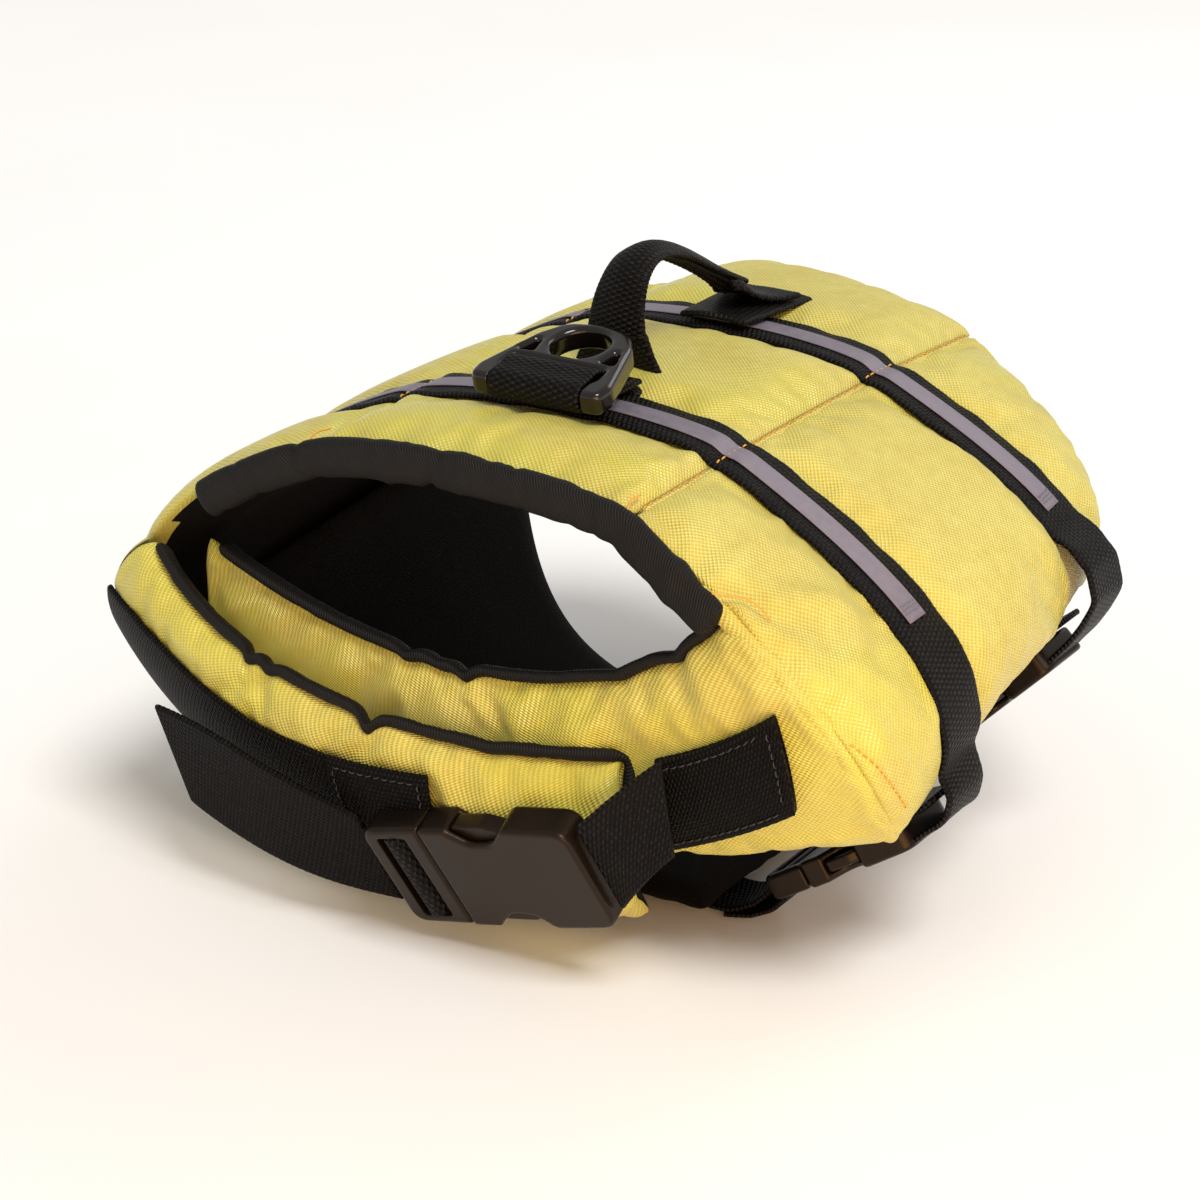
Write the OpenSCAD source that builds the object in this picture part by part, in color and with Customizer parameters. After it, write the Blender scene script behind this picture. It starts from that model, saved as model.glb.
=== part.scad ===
// Small foam flotation vest for a dog: padded panels, webbing, buckles, handle and leash ring.
// X is the width, Y runs from the neck opening to the tail and Z is up. The measures below are
// from the middle of the back's front half; frame_shift then puts the origin at the box's bottom centre.

/* [Panels] */
// Half the distance between the two long seams on the back
seam_x = 45; // [40:1:50]
// Height of the long seams above the ground
seam_z = 116; // [112:1:120]
// Front edge of the back panel
neck_y = -57; // [-60:1:-54]
// Tail edge of the back panel
tail_y = 116; // [108:1:120]
// How far the padded back stands above its seams
crown_h = 6.5; // [4:0.5:9]
// Thickness of a foam panel in its middle
pad_t = 10; // [8:0.5:11]
// Thickness of a foam panel at its stitched edge
edge_t = 2.6; // [2.4:0.1:3]
// Thickness of the belly panel in its middle
belly_t = 5; // [4:0.5:6]

/* [Webbing] */
// Width of the two body straps
body_web_w = 16; // [15:1:17]
// Width of the chest strap, handle and leash loop webbing
wide_web_w = 25; // [24:1:26]
// Thickness of one layer of webbing
web_t = 1.4; // [1:0.1:1.6]
// Middle of the front body strap along the vest
front_strap_y = -13; // [-15:1:-11]
// Middle of the rear body strap along the vest
rear_strap_y = 61; // [59:1:62]
// Width of the reflective tape
tape_w = 6.5; // [5:0.5:7]
// Height of the top of the grab handle
handle_top = 156; // [152:1:160]

/* [Buckles] */
// Length of the closed chest buckle
chest_buckle_l = 60; // [58:1:62]
// Length of a closed belly buckle
belly_buckle_l = 44; // [43:1:45]

/* [Leash ring] */
// Diameter of the hole that a leash clips into
ring_hole_d = 14.4; // [12:0.2:15]
// Thickness of the ring's plate
ring_t = 6; // [5:0.5:6]

/* [Hidden] */
frame_shift = [-1.26, -22.33, 0.5];
yellow = "gold";
black = "#181614";
skin = 0.7;      // thickness of a cover or lining fabric
gap = 0.15;      // air between a fabric and its foam
lift = 0.8;      // air between a panel and the webbing on it
cells_u = 12;
cells_v = 8;
neck_end_v = 0.34;   // where the neck binding ends on a flank's front edge

// Control nets of the panels' outer faces: four rows of four points each.
// The rows of the back run across it from right to left, from the neck to the tail.
// Its tail edge is skewed: each row adds [x, y, z] at the left seam, less towards the right.
back_net = [for (r = [[neck_y, -1, [0, 0, 0]], [neck_y + 58, 1, [0, 0, 0]],
                      [tail_y - 58, 3, [1, 4, 1]], [tail_y, -1, [5, 15, 4]]])
            [for (c = [[1, 0, 0], [0.6, 1, 0.3], [-0.6, 1, 0.8], [-1, 0, 1]])
             [c[0] * seam_x, r[0], seam_z + r[1] + c[1] * crown_h] + c[2] * r[2]]];
// The rows of a flank run from the neck to the tail, from the long seam to the lower edge.
flank_net = [[for (row = back_net) row[0]],
             [[66, -62, 104], [66, 8, 105], [68, 62, 107], [70, 104, 106]],
             [[112, -66, 76], [130, 12, 80], [122, 64, 83], [113, 86, 87]],
             [[104, -37, 41], [101, -12, 50], [101, 38, 58], [95, 75, 65]]];
left_net = [[for (row = back_net) row[3]],
            [[-72, -60, 106], [-72, 8, 107], [-70, 66, 108], [-64, 112, 108]],
            [[-118, -66, 79], [-132, 12, 82], [-124, 68, 84], [-112, 100, 86]],
            [[-104, -38, 41], [-101, -12, 48], [-100, 42, 55], [-97, 92, 60]]];
// The rows of the inner chest flap run from the right flank to its free end, from the bottom up.
// It starts at the flank's front edge, below the place where the neck binding ends.
ridge = rest_of([for (row = flank_net) row[0]], neck_end_v);
inner_net = [concat([ridge[3]], [[68, -58, 34], [0, -43, 6], [-74, -44, 26]]),
             concat([ridge[2]], [[60, -66, 38], [-20, -57, 26], [-80, -53, 46]]),
             concat([ridge[1]], [[48, -64, 52], [-25, -63, 46], [-84, -57, 66]]),
             concat([ridge[0]], [[38, -56, 61], [-24, -60, 60], [-82, -55, 84]])];
// The rows of the outer chest flap run from the left flank to its free end, from the top down.
outer_net = [[[-93, -60, 83], [-71, -74, 66], [-20, -77, 50], [40, -64, 58]],
             [[-110, -66, 75], [-72, -83, 53], [-15, -84, 40], [42, -71, 43]],
             [[-114, -58, 53], [-72, -78, 29], [-15, -70, 12], [40, -61, 18]],
             [[-102, -44, 38], [-64, -56, 8], [-10, -50, 1], [38, -44, 6]]];
// The rows of the belly panel run from the left flank to the right end, from front to rear.
belly_net = [for (r = [[-30, -30, -97, 47], [8, 4, -95, 52], [50, 38, -93, 58], [93, 72, -89, 65]])
             [[r[2], r[0], r[3]], [-86, r[0], -12], [-30, r[1], 3], [50, r[1], 4]]];

function bezier(p, t) = pow(1 - t, 3) * p[0] + 3 * t * pow(1 - t, 2) * p[1]
                        + 3 * t * t * (1 - t) * p[2] + pow(t, 3) * p[3];
function mix(a, b, t) = a * (1 - t) + b * t;
// The control points of a curve's rest, from t to its end.
function rest_of(p, t) = let (a = mix(p[0], p[1], t), b = mix(p[1], p[2], t), c = mix(p[2], p[3], t))
    [mix(mix(a, b, t), mix(b, c, t), t), mix(b, c, t), c, p[3]];
function on_net(net, u, v) = bezier([for (row = net) bezier(row, u)], v);
function unit(a) = a / norm(a);
function normal(net, u, v) = let (e = 0.01)
    unit(cross(on_net(net, u + e, v) - on_net(net, u - e, v),
               on_net(net, u, v + e) - on_net(net, u, v - e)));
function fullness(s) = 1 - pow(abs(2 * s - 1), 5);
function padding(u, v, t) = edge_t + (t - edge_t) * fullness(u) * fullness(v);
// Finds u where the net's line v crosses the plane y, by halving.
function u_at_y(net, v, y, lo = 0, hi = 1, turns = 14) =
    let (mid = (lo + hi) / 2)
    turns == 0 ? mid
    : on_net(net, mid, v)[1] < y ? u_at_y(net, v, y, mid, hi, turns - 1)
    : u_at_y(net, v, y, lo, mid, turns - 1);

// A closed solid between two grids of points that have the same number of rows and columns.
module between(near, far) {
    m = len(near);
    n = len(near[0]);
    pts = concat([for (r = far) each r], [for (r = near) each r]);
    function at(i, j, k) = k * m * n + i * n + j;
    near_faces = [for (i = [0 : m - 2], j = [0 : n - 2])
                  each [[at(i, j, 0), at(i + 1, j, 0), at(i + 1, j + 1, 0)],
                        [at(i, j, 0), at(i + 1, j + 1, 0), at(i, j + 1, 0)]]];
    far_faces = [for (i = [0 : m - 2], j = [0 : n - 2])
                 each [[at(i, j, 1), at(i + 1, j + 1, 1), at(i + 1, j, 1)],
                       [at(i, j, 1), at(i, j + 1, 1), at(i + 1, j + 1, 1)]]];
    rim = concat([for (j = [0 : n - 2]) [at(0, j, 0), at(0, j + 1, 0), 0, at(0, j, 1), at(0, j + 1, 1)]],
                 [for (i = [0 : m - 2]) [at(i, n - 1, 0), at(i + 1, n - 1, 0), 0,
                                         at(i, n - 1, 1), at(i + 1, n - 1, 1)]],
                 [for (j = [0 : n - 2]) [at(m - 1, j + 1, 0), at(m - 1, j, 0), 0,
                                         at(m - 1, j + 1, 1), at(m - 1, j, 1)]],
                 [for (i = [0 : m - 2]) [at(i + 1, 0, 0), at(i, 0, 0), 0,
                                         at(i + 1, 0, 1), at(i, 0, 1)]]);
    rim_faces = [for (r = rim) each [[r[0], r[1], r[4]], [r[0], r[4], r[3]]]];
    polyhedron(pts, concat(near_faces, far_faces, rim_faces), convexity = 6);
}

// A layer of a panel. Depths are measured inwards from the outer face: [a, b] is a + b * padding.
// trim leaves out that many cells along every edge.
sewn = 0.015;        // how far a panel stops short of its net's edge
module layer(net, t, near, far, u = [sewn, 1 - sewn], v = [sewn, 1 - sewn],
             nu = cells_u, nv = cells_v, trim = 0) {
    function spot(i, j, d) =
        let (s = u[0] + (u[1] - u[0]) * i / nu, w = v[0] + (v[1] - v[0]) * j / nv)
        on_net(net, s, w) + normal(net, s, w) * (d[0] + d[1] * padding(s, w, t));
    between([for (j = [trim : nv - trim]) [for (i = [trim : nu - trim]) spot(i, j, near)]],
            [for (j = [trim : nv - trim]) [for (i = [trim : nu - trim]) spot(i, j, far)]]);
}
module cover(net, t, u = [sewn, 1 - sewn]) layer(net, t, [0, 0], [skin, 0], u);
module foam(net, t, u = [sewn, 1 - sewn]) layer(net, t, [skin + gap, 0], [-skin - gap, 1], u, trim = 1);
module lining(net, t, u = [sewn, 1 - sewn]) layer(net, t, [-skin, 1], [0, 1], u);
inner_u = [0.032, 1 - sewn];   // the inner flap clears the inside of the ridge

left_faced = [for (row = left_net) reversed(row)];   // drawn from the tail, so it faces outwards

module back_cover() color(yellow) cover(back_net, pad_t);
module back_foam() color("white") foam(back_net, pad_t);
module back_lining() color(black) lining(back_net, pad_t);
module right_flank_cover() color(yellow) cover(flank_net, pad_t);
module right_flank_foam() color("white") foam(flank_net, pad_t);
module right_flank_lining() color(black) lining(flank_net, pad_t);
module left_flank_cover() color(yellow) cover(left_faced, pad_t);
module left_flank_foam() color("white") foam(left_faced, pad_t);
module left_flank_lining() color(black) lining(left_faced, pad_t);
module inner_flap_cover() color(yellow) cover(inner_net, pad_t, inner_u);
module inner_flap_foam() color("white") foam(inner_net, pad_t, inner_u);
module inner_flap_lining() color(black) lining(inner_net, pad_t, inner_u);
module outer_flap_cover() color(yellow) cover(outer_net, pad_t);
module outer_flap_foam() color("white") foam(outer_net, pad_t);
module outer_flap_lining() color(black) lining(outer_net, pad_t);
module belly_cover() color(black) cover(belly_net, belly_t);
module belly_foam() color("white") foam(belly_net, belly_t);
module belly_lining() color(black) lining(belly_net, belly_t);

// A closed tube through rings of points.
module tube(rings) {
    m = len(rings);
    n = len(rings[0]);
    walls = [for (i = [0 : m - 2], j = [0 : n - 1])
             let (k = (j + 1) % n)
             each [[i * n + j, (i + 1) * n + j, (i + 1) * n + k],
                   [i * n + j, (i + 1) * n + k, i * n + k]]];
    ends = [[for (j = [0 : n - 1]) j], [for (j = [n - 1 : -1 : 0]) (m - 1) * n + j]];
    polyhedron([for (r = rings) each r], concat(walls, ends), convexity = 6);
}

// One ring of a binding around a panel's edge. out points off the panel, inner into its padding.
binding_h = 4.2;     // half its height across the padding
binding_d = 1.8;     // half its depth off the edge
function binding_ring(edge, out, inner, h = binding_h) =
    let (mid = edge + inner * (h - 0.6) + out * (binding_d + 0.7))
    [for (a = [0 : 45 : 315]) mid + inner * h * cos(a) + out * binding_d * sin(a)];
function slope_u(net, u, v) = unit(on_net(net, u + 0.01, v) - on_net(net, u - 0.01, v));
function slope_v(net, u, v) = unit(on_net(net, u, v + 0.01) - on_net(net, u, v - 0.01));
function reversed(a) = [for (i = [len(a) - 1 : -1 : 0]) a[i]];

module neck_binding() color(black) {
    right = [for (v = [neck_end_v : -0.04 : 0.05])
             binding_ring(on_net(flank_net, 0, v), -slope_u(flank_net, 0, v), normal(flank_net, 0, v))];
    back = [for (u = [0.03 : 0.094 : 0.98])
            binding_ring(on_net(back_net, u, 0), -slope_v(back_net, u, 0), normal(back_net, u, 0))];
    left = [for (v = [0.05 : 0.04 : neck_end_v + 0.02])
            binding_ring(on_net(left_net, 0, v), -slope_u(left_net, 0, v), -normal(left_net, 0, v))];
    tube(concat(right, back, left));
}
flap_binding_h = 2;
module inner_flap_binding() color(black)
    tube([for (u = [0.97 : -0.06 : 0.06])
          binding_ring(on_net(inner_net, u, 1), slope_v(inner_net, u, 1), normal(inner_net, u, 1),
                       flap_binding_h)]);
module outer_flap_binding() color(black)
    tube([for (u = [0.03 : 0.06 : 0.98])
          binding_ring(on_net(outer_net, u, 0), -slope_v(outer_net, u, 0), normal(outer_net, u, 0),
                       flap_binding_h)]);

// Webbing that follows a line of [x, z] points, as wide along y as its width.
function side(p, i) = let (a = p[max(i - 1, 0)], b = p[min(i + 1, len(p) - 1)])
    [b[1] - a[1], a[0] - b[0]] / norm(b - a);
module webbing(p, y, width, near, far) {
    line = concat([for (i = [0 : len(p) - 1]) p[i] - side(p, i) * near],
                  [for (i = [len(p) - 1 : -1 : 0]) p[i] - side(p, i) * far]);
    translate([0, y + width / 2, 0]) rotate([90, 0, 0]) linear_extrude(width) polygon(line);
}
// Points of the body's section at y, from the middle of the back to a place on the right flank.
function v_at_y(y) = (y - neck_y) / (tail_y - neck_y);
function flat(p) = [p[0], p[2]];
function right_section(y, v_end) = concat(
    [for (u = [0.5 : -0.08 : 0.05]) flat(on_net(back_net, u, v_at_y(y)))],
    [for (i = [0 : 12]) let (v = 0.03 + (v_end - 0.03) * i / 12)
     flat(on_net(flank_net, u_at_y(flank_net, v, y), v))]);
function left_section(y, v_end) = concat(
    [for (i = [12 : -1 : 0]) let (v = 0.03 + (v_end - 0.03) * i / 12)
     flat(on_net(left_net, u_at_y(left_net, v, y), v))],
    [for (u = [0.95 : -0.08 : 0.56]) flat(on_net(back_net, u, v_at_y(y)))]);
function over_back(left_y, right_y, left_v, right_v) =
    concat(left_section(left_y, left_v), right_section(right_y, right_v));

front_free = [[109.5, 50], [108, 42], [102, 37.6]];
rear_free = [[103, 84], [108.6, 79], [110, 71], [106.5, 63], [100, 56.4]];
// On the right each strap lies over the fuller of the two sections at its edges.
front_left_y = front_strap_y;
front_right_y = front_strap_y + body_web_w / 2;
rear_edge_y = rear_strap_y - body_web_w / 2;
module front_body_strap() color(black)
    webbing(concat(over_back(front_left_y, front_right_y, 0.97, 0.93), front_free), front_strap_y,
            body_web_w, lift, lift + web_t);
module rear_body_strap() color(black)
    webbing(concat(over_back(rear_edge_y, rear_edge_y, 0.97, 0.62), rear_free), rear_strap_y,
            body_web_w, lift, lift + web_t);
tape_gap = 0.1;
tape_t = 0.3;
tape_from = lift + web_t + tape_gap;
module front_tape() color("dimgray")
    webbing(over_back(front_left_y, front_right_y, 0.56, 0.56), front_strap_y, tape_w,
            tape_from, tape_from + tape_t);
module rear_tape() color("dimgray")
    webbing(over_back(rear_edge_y, rear_edge_y, 0.56, 0.56), rear_strap_y, tape_w,
            tape_from, tape_from + tape_t);

// The belly straps run under the belly panel from the left flank to the lower buckle ends.
belly_across = [for (k = [0 : 3]) [for (row = belly_net) row[k]]];
function belly_line(y) = [for (i = [0 : 16]) let (u = 0.03 + 0.97 * i / 16)
                          flat(on_net(belly_net, u, u_at_y(belly_across, u, y)))];
module front_belly_strap() color(black)
    webbing(concat(belly_line(front_strap_y), [[53, 4.6], [60.2, 11]]), front_strap_y, body_web_w, -lift - web_t, -lift);
module rear_belly_strap() color(black)
    webbing(concat(belly_line(rear_strap_y), [[53, 4.8], [60, 11.5], [66.4, 21]]), rear_strap_y, body_web_w,
            -lift - web_t, -lift);

// The chest webbing lies on the chest flaps, so it is a band of their outer faces.
module chest_strap() color(black)
    layer(outer_net, pad_t, [-lift - web_t, 0], [-lift, 0], [0.015, 0.55], [0.28, 0.66], 12, 4);
module chest_anchor_strap() color(black)
    layer(inner_net, pad_t, [-lift - web_t, 0], [-lift, 0], [0.06, 0.24], [0.3, 0.72], 6, 4);
// Free webs, each between an upper and a lower edge curve: the loose tail that comes out of the
// chest plug, and the piece from the chest socket to its sewn end.
function strip_net(top, bottom) = [for (k = [0 : 3]) [for (i = [0 : 3]) mix(top[i], bottom[i], k / 3)]];
tail_net = strip_net([[-80, -77, 45], [-60, -84, 38], [-38, -84, 33], [-17.5, -78.5, 31]],
                     [[-70, -77, 23.5], [-55, -80, 15], [-35, -76, 10], [-12.5, -68.5, 9]]);
module chest_strap_tail() color(black)
    layer(tail_net, pad_t, [-web_t / 2, 0], [web_t / 2, 0], [0, 1], [0, 1], cells_u, 4);
anchor_link = strip_net([[45, -78, 47], [50, -77, 52], [54, -71, 57], [56.5, -67, 60]],
                        [[51, -68, 25], [54, -70, 30], [57, -68, 36], [59, -66, 41]]);
module chest_anchor_link() color(black)
    layer(anchor_link, pad_t, [-web_t / 2, 0], [web_t / 2, 0], [0, 1], [0, 1], 6, 4);

// Side-release buckles, drawn lying flat: x along the webbing, y across it, z through its thickness.
function buckle_w(web) = web + 7;
buckle_wall = 1.7;
buckle_play = 0.35;
plug_share = 0.29;       // the plug's frame as a share of the closed length
window_share = [0.36, 0.62];   // the side windows along the closed length, from the plug's end
module box(x, y, z) translate([x[0], y[0], z[0]]) cube([x[1] - x[0], y[1] - y[0], z[1] - z[0]]);
module buckle_outline(l, w, r) hull()
    for (x = [r, l - r], y = [r - w / 2, w / 2 - r]) translate([x, y]) circle(r, $fn = 24);
module buckle_socket(l, web, t) {
    w = buckle_w(web);
    mouth = plug_share * l + buckle_play;
    bar_l = 4;
    slot_l = 3.6;
    difference() {
        intersection() {
            translate([0, 0, -t / 2]) linear_extrude(t) buckle_outline(l, w, 3);
            box([mouth, l], [-w / 2, w / 2], [-t / 2, t / 2]);
        }
        box([mouth - 1, l - bar_l - slot_l - 2.5], [-w / 2 + buckle_wall, w / 2 - buckle_wall],
            [-t / 2 + buckle_wall, t / 2 - buckle_wall]);
        box([window_share[0] * l, window_share[1] * l], [-w / 2 - 1, w / 2 + 1],
            [-t / 2 + buckle_wall, t / 2 - buckle_wall]);
        box([l - bar_l - slot_l, l - bar_l], [-web / 2 - 0.6, web / 2 + 0.6], [-t, t]);
    }
}
module buckle_plug(l, web, t) {
    w = buckle_w(web);
    frame_l = plug_share * l;
    tongue = 0.56 * l;
    slot_l = 3.6;
    difference() {
        intersection() {
            translate([0, 0, -t / 2]) linear_extrude(t) buckle_outline(l, w, 3);
            box([0, frame_l], [-w / 2, w / 2], [-t / 2, t / 2]);
        }
        for (x = [0.1 * l, 0.1 * l + slot_l + 1.4])
            box([x - slot_l / 2, x + slot_l / 2], [-web / 2 - 0.6, web / 2 + 0.6], [-t, t]);
    }
    box([frame_l - 0.01, tongue], [-web / 14, web / 14], [-t / 4, t / 4]);
}
// One sprung arm of the plug, on the +y side. Its root is a knuckle that it flexes about.
pad_play = 0.6;          // room for the pad's far corner as it swings in
function arm_root(l, web) = [plug_share * l + 1.65, buckle_w(web) / 2 - buckle_wall - 2.4];
module buckle_latch(l, web, t) {
    w = buckle_w(web);
    root = arm_root(l, web);
    pad_x = [window_share[0] * l + buckle_play, window_share[1] * l - pad_play];
    h = t / 2 - buckle_wall - buckle_play;
    translate([root[0], root[1], -h]) cylinder(h = 2 * h, r = 1.3, $fn = 32);
    box([root[0], pad_x[1]], [root[1] - 1.1, root[1] + 0.7], [-h, h]);
    box(pad_x, [root[1] - 0.5, w / 2 - 0.4], [-h, h]);
}
module mirrored_y() mirror([0, 1, 0]) children();

// The chest buckle lies on the outer flap, leaning under it, with its plug to the left.
chest_buckle_t = 9;
belly_buckle_t = 7;
module at_chest() translate([17.2, -71.5, 26.7]) rotate([0, -14.5, 0]) rotate([114, 0, 0])
    translate([-chest_buckle_l / 2, 0, 0]) children();
module chest_socket() color(black) at_chest() buckle_socket(chest_buckle_l, wide_web_w, chest_buckle_t);
module chest_plug() color(black) at_chest() buckle_plug(chest_buckle_l, wide_web_w, chest_buckle_t);
module chest_latch_upper() color(black)
    at_chest() buckle_latch(chest_buckle_l, wide_web_w, chest_buckle_t);
module chest_latch_lower() color(black)
    at_chest() mirrored_y() buckle_latch(chest_buckle_l, wide_web_w, chest_buckle_t);

// The belly buckles hang at the right side, with their plugs at the lower end.
module at_belly(place, lean) translate(place) rotate([0, -lean, 0])
    translate([-belly_buckle_l / 2, 0, 0]) children();
front_buckle_at = [81, front_strap_y, 24.5];
front_buckle_lean = 34;
rear_buckle_at = [83, rear_strap_y, 38.5];
rear_buckle_lean = 46;
module front_belly_socket() color(black) at_belly(front_buckle_at, front_buckle_lean)
    buckle_socket(belly_buckle_l, body_web_w, belly_buckle_t);
module front_belly_plug() color(black) at_belly(front_buckle_at, front_buckle_lean)
    buckle_plug(belly_buckle_l, body_web_w, belly_buckle_t);
module front_belly_latch_a() color(black) at_belly(front_buckle_at, front_buckle_lean)
    buckle_latch(belly_buckle_l, body_web_w, belly_buckle_t);
module front_belly_latch_b() color(black) at_belly(front_buckle_at, front_buckle_lean)
    mirrored_y() buckle_latch(belly_buckle_l, body_web_w, belly_buckle_t);
module rear_belly_socket() color(black) at_belly(rear_buckle_at, rear_buckle_lean)
    buckle_socket(belly_buckle_l, body_web_w, belly_buckle_t);
module rear_belly_plug() color(black) at_belly(rear_buckle_at, rear_buckle_lean)
    buckle_plug(belly_buckle_l, body_web_w, belly_buckle_t);
module rear_belly_latch_a() color(black) at_belly(rear_buckle_at, rear_buckle_lean)
    buckle_latch(belly_buckle_l, body_web_w, belly_buckle_t);
module rear_belly_latch_b() color(black) at_belly(rear_buckle_at, rear_buckle_lean)
    mirrored_y() buckle_latch(belly_buckle_l, body_web_w, belly_buckle_t);

// The grab handle: a folded band between two sewn tabs. It leans about a line along y.
handle_axis_z = 133;
handle_ends = [7.5, 64];
grip_w = 10;
grip_t = 3;
handle_arc = [[handle_ends[0], handle_axis_z], [6, 143], [14, handle_top + 4], [24, handle_top - 1],
              [46, 142], [handle_ends[1], handle_axis_z]];
function curve(p, t) = len(p) == 1 ? p[0]
    : curve([for (i = [0 : len(p) - 2]) p[i] * (1 - t) + p[i + 1] * t], t);
module handle() color(black) {
    line = [for (i = [0 : 20]) curve(handle_arc, i / 20)];
    strip = concat([for (i = [0 : 20]) line[i] + side(line, i) * grip_t / 2],
                   [for (i = [20 : -1 : 0]) line[i] - side(line, i) * grip_t / 2]);
    translate([-grip_w / 2, 0, 0]) rotate([90, 0, 90]) linear_extrude(grip_w) polygon(strip);
    for (y = handle_ends)
        translate([0, y + grip_t / 2, handle_axis_z]) rotate([90, 0, 0])
            cylinder(h = grip_t, r = grip_w / 2, $fn = 48);
}
module tab(y, z) color(black)
    translate([-wide_web_w / 2, y[0], z]) cube([wide_web_w, y[1] - y[0], web_t]);
module handle_front_tab() tab([-3.5, 14], 122.6);
module handle_rear_tab() tab([54, 86], 126.2);

// The leash ring: a plate that tips up about its front bar, inside a loop of webbing.
ring_bar = [0, -26, 128];
ring_lean = 13;
ring_bar_r = 2.2;
ring_reach = 18.5;      // from the bar to the middle of the leash hole
loop_web_t = 1.2;
module ring_plate() hull() {
    for (x = [-15.5, 15.5]) translate([x, 0]) circle(3.2, $fn = 32);
    for (x = [-3, 3]) translate([x, ring_reach]) circle(10, $fn = 48);
}
module leash_ring() color(black) translate(ring_bar) rotate([ring_lean, 0, 0]) {
    difference() {
        translate([0, 0, -ring_t / 2]) linear_extrude(ring_t) ring_plate();
        box([-13.2, 13.2], [-4, 9.6], [-ring_t, ring_t]);
        translate([0, ring_reach, -ring_t]) cylinder(h = 2 * ring_t, d = ring_hole_d, $fn = 64);
        for (s = [-1, 1])
            translate([0, 0, -ring_t]) linear_extrude(2 * ring_t)
                polygon([[9.4 * s, 12], [13.4 * s, 12], [11.6 * s, 17.4], [10.6 * s, 17.4]]);
    }
    rotate([0, 90, 0]) translate([0, 0, -14]) cylinder(h = 28, r = ring_bar_r, $fn = 48);
}
module leash_loop() color(black) translate([0, ring_bar[1], ring_bar[2]]) {
    inner_r = ring_bar_r + 0.35;
    outer_r = inner_r + loop_web_t;
    rotate([90, 0, 90]) translate([0, 0, -wide_web_w / 2]) linear_extrude(wide_web_w) {
        difference() {
            circle(outer_r, $fn = 64);
            circle(inner_r, $fn = 64);
            polygon([[0, 0], [9, 2], [9, -9], [1.5, -9]]);
        }
        polygon([[0.3, -inner_r], [0.3, -outer_r], [20, -outer_r + 0.45], [20, -inner_r + 0.45]]);
    }
}

module placed() translate(frame_shift) children();
placed() back_cover();
placed() back_foam();
placed() back_lining();
placed() right_flank_cover();
placed() right_flank_foam();
placed() right_flank_lining();
placed() left_flank_cover();
placed() left_flank_foam();
placed() left_flank_lining();
placed() inner_flap_cover();
placed() inner_flap_foam();
placed() inner_flap_lining();
placed() outer_flap_cover();
placed() outer_flap_foam();
placed() outer_flap_lining();
placed() belly_cover();
placed() belly_foam();
placed() belly_lining();
placed() neck_binding();
placed() inner_flap_binding();
placed() outer_flap_binding();
placed() front_body_strap();
placed() rear_body_strap();
placed() front_tape();
placed() rear_tape();
placed() front_belly_strap();
placed() rear_belly_strap();
placed() chest_strap();
placed() chest_strap_tail();
placed() chest_anchor_strap();
placed() chest_anchor_link();
placed() handle();
placed() handle_front_tab();
placed() handle_rear_tab();
placed() leash_loop();
placed() leash_ring();
placed() chest_socket();
placed() chest_plug();
placed() chest_latch_upper();
placed() chest_latch_lower();
placed() front_belly_socket();
placed() front_belly_plug();
placed() front_belly_latch_a();
placed() front_belly_latch_b();
placed() rear_belly_socket();
placed() rear_belly_plug();
placed() rear_belly_latch_a();
placed() rear_belly_latch_b();
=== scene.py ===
# The looks of a small dog flotation vest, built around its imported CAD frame.
# Shapes are in millimetres and in the CAD source's own measures. place() turns them into metres in the shared frame.
import math

import bmesh
import bpy
import numpy as np
from mathutils import Matrix, Vector
from mathutils.bvhtree import BVHTree


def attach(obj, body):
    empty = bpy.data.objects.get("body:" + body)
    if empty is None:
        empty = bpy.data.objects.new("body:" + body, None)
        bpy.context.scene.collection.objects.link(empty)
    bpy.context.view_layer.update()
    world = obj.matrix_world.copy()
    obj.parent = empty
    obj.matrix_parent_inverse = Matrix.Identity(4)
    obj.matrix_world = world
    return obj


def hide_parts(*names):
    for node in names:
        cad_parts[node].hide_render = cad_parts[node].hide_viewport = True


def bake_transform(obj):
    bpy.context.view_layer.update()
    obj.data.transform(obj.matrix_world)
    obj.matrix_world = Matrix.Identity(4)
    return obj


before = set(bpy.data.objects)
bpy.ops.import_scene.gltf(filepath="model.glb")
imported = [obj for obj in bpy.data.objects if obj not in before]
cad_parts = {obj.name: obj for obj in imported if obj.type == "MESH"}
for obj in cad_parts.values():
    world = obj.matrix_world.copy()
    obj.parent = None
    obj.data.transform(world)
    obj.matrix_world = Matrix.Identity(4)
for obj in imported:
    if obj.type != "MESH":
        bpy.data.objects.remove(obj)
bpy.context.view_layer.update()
dice = np.random.default_rng(7)     # how far each stitch lies off its line

MM = 0.001
SHIFT = np.array([-1.26, -22.33, 0.5])     # the CAD's frame_shift
VEST = "vest"


def place(p):
    return (np.asarray(p, float) + SHIFT) * MM


def added(name, data):
    obj = bpy.data.objects.new(name, data)
    bpy.context.scene.collection.objects.link(obj)
    return obj


def dressed(obj, body, nodes=()):
    """Says what a piece rides on and which CAD pieces it stands for."""
    if body:
        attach(obj, body)
    if nodes:
        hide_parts(*nodes)
    return obj


# ---------------------------------------------------------------- camera

def look_from(azimuth, elevation, distance, target):
    az, el = math.radians(azimuth), math.radians(elevation)
    away = Vector((math.sin(az) * math.cos(el), -math.cos(az) * math.cos(el), math.sin(el)))
    at = Vector(place(target))
    return at + away * distance, away.to_track_quat("Z", "Y")


camera_data = bpy.data.cameras.new("camera")
camera = added("camera", camera_data)
camera.rotation_mode = "QUATERNION"
camera.location, camera.rotation_quaternion = look_from(33, 21.6, 0.700, (0, 0, 66))
camera_data.lens = 83.8
camera_data.sensor_width = 36
camera_data.clip_start = 0.01
bpy.context.scene.camera = camera


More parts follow.
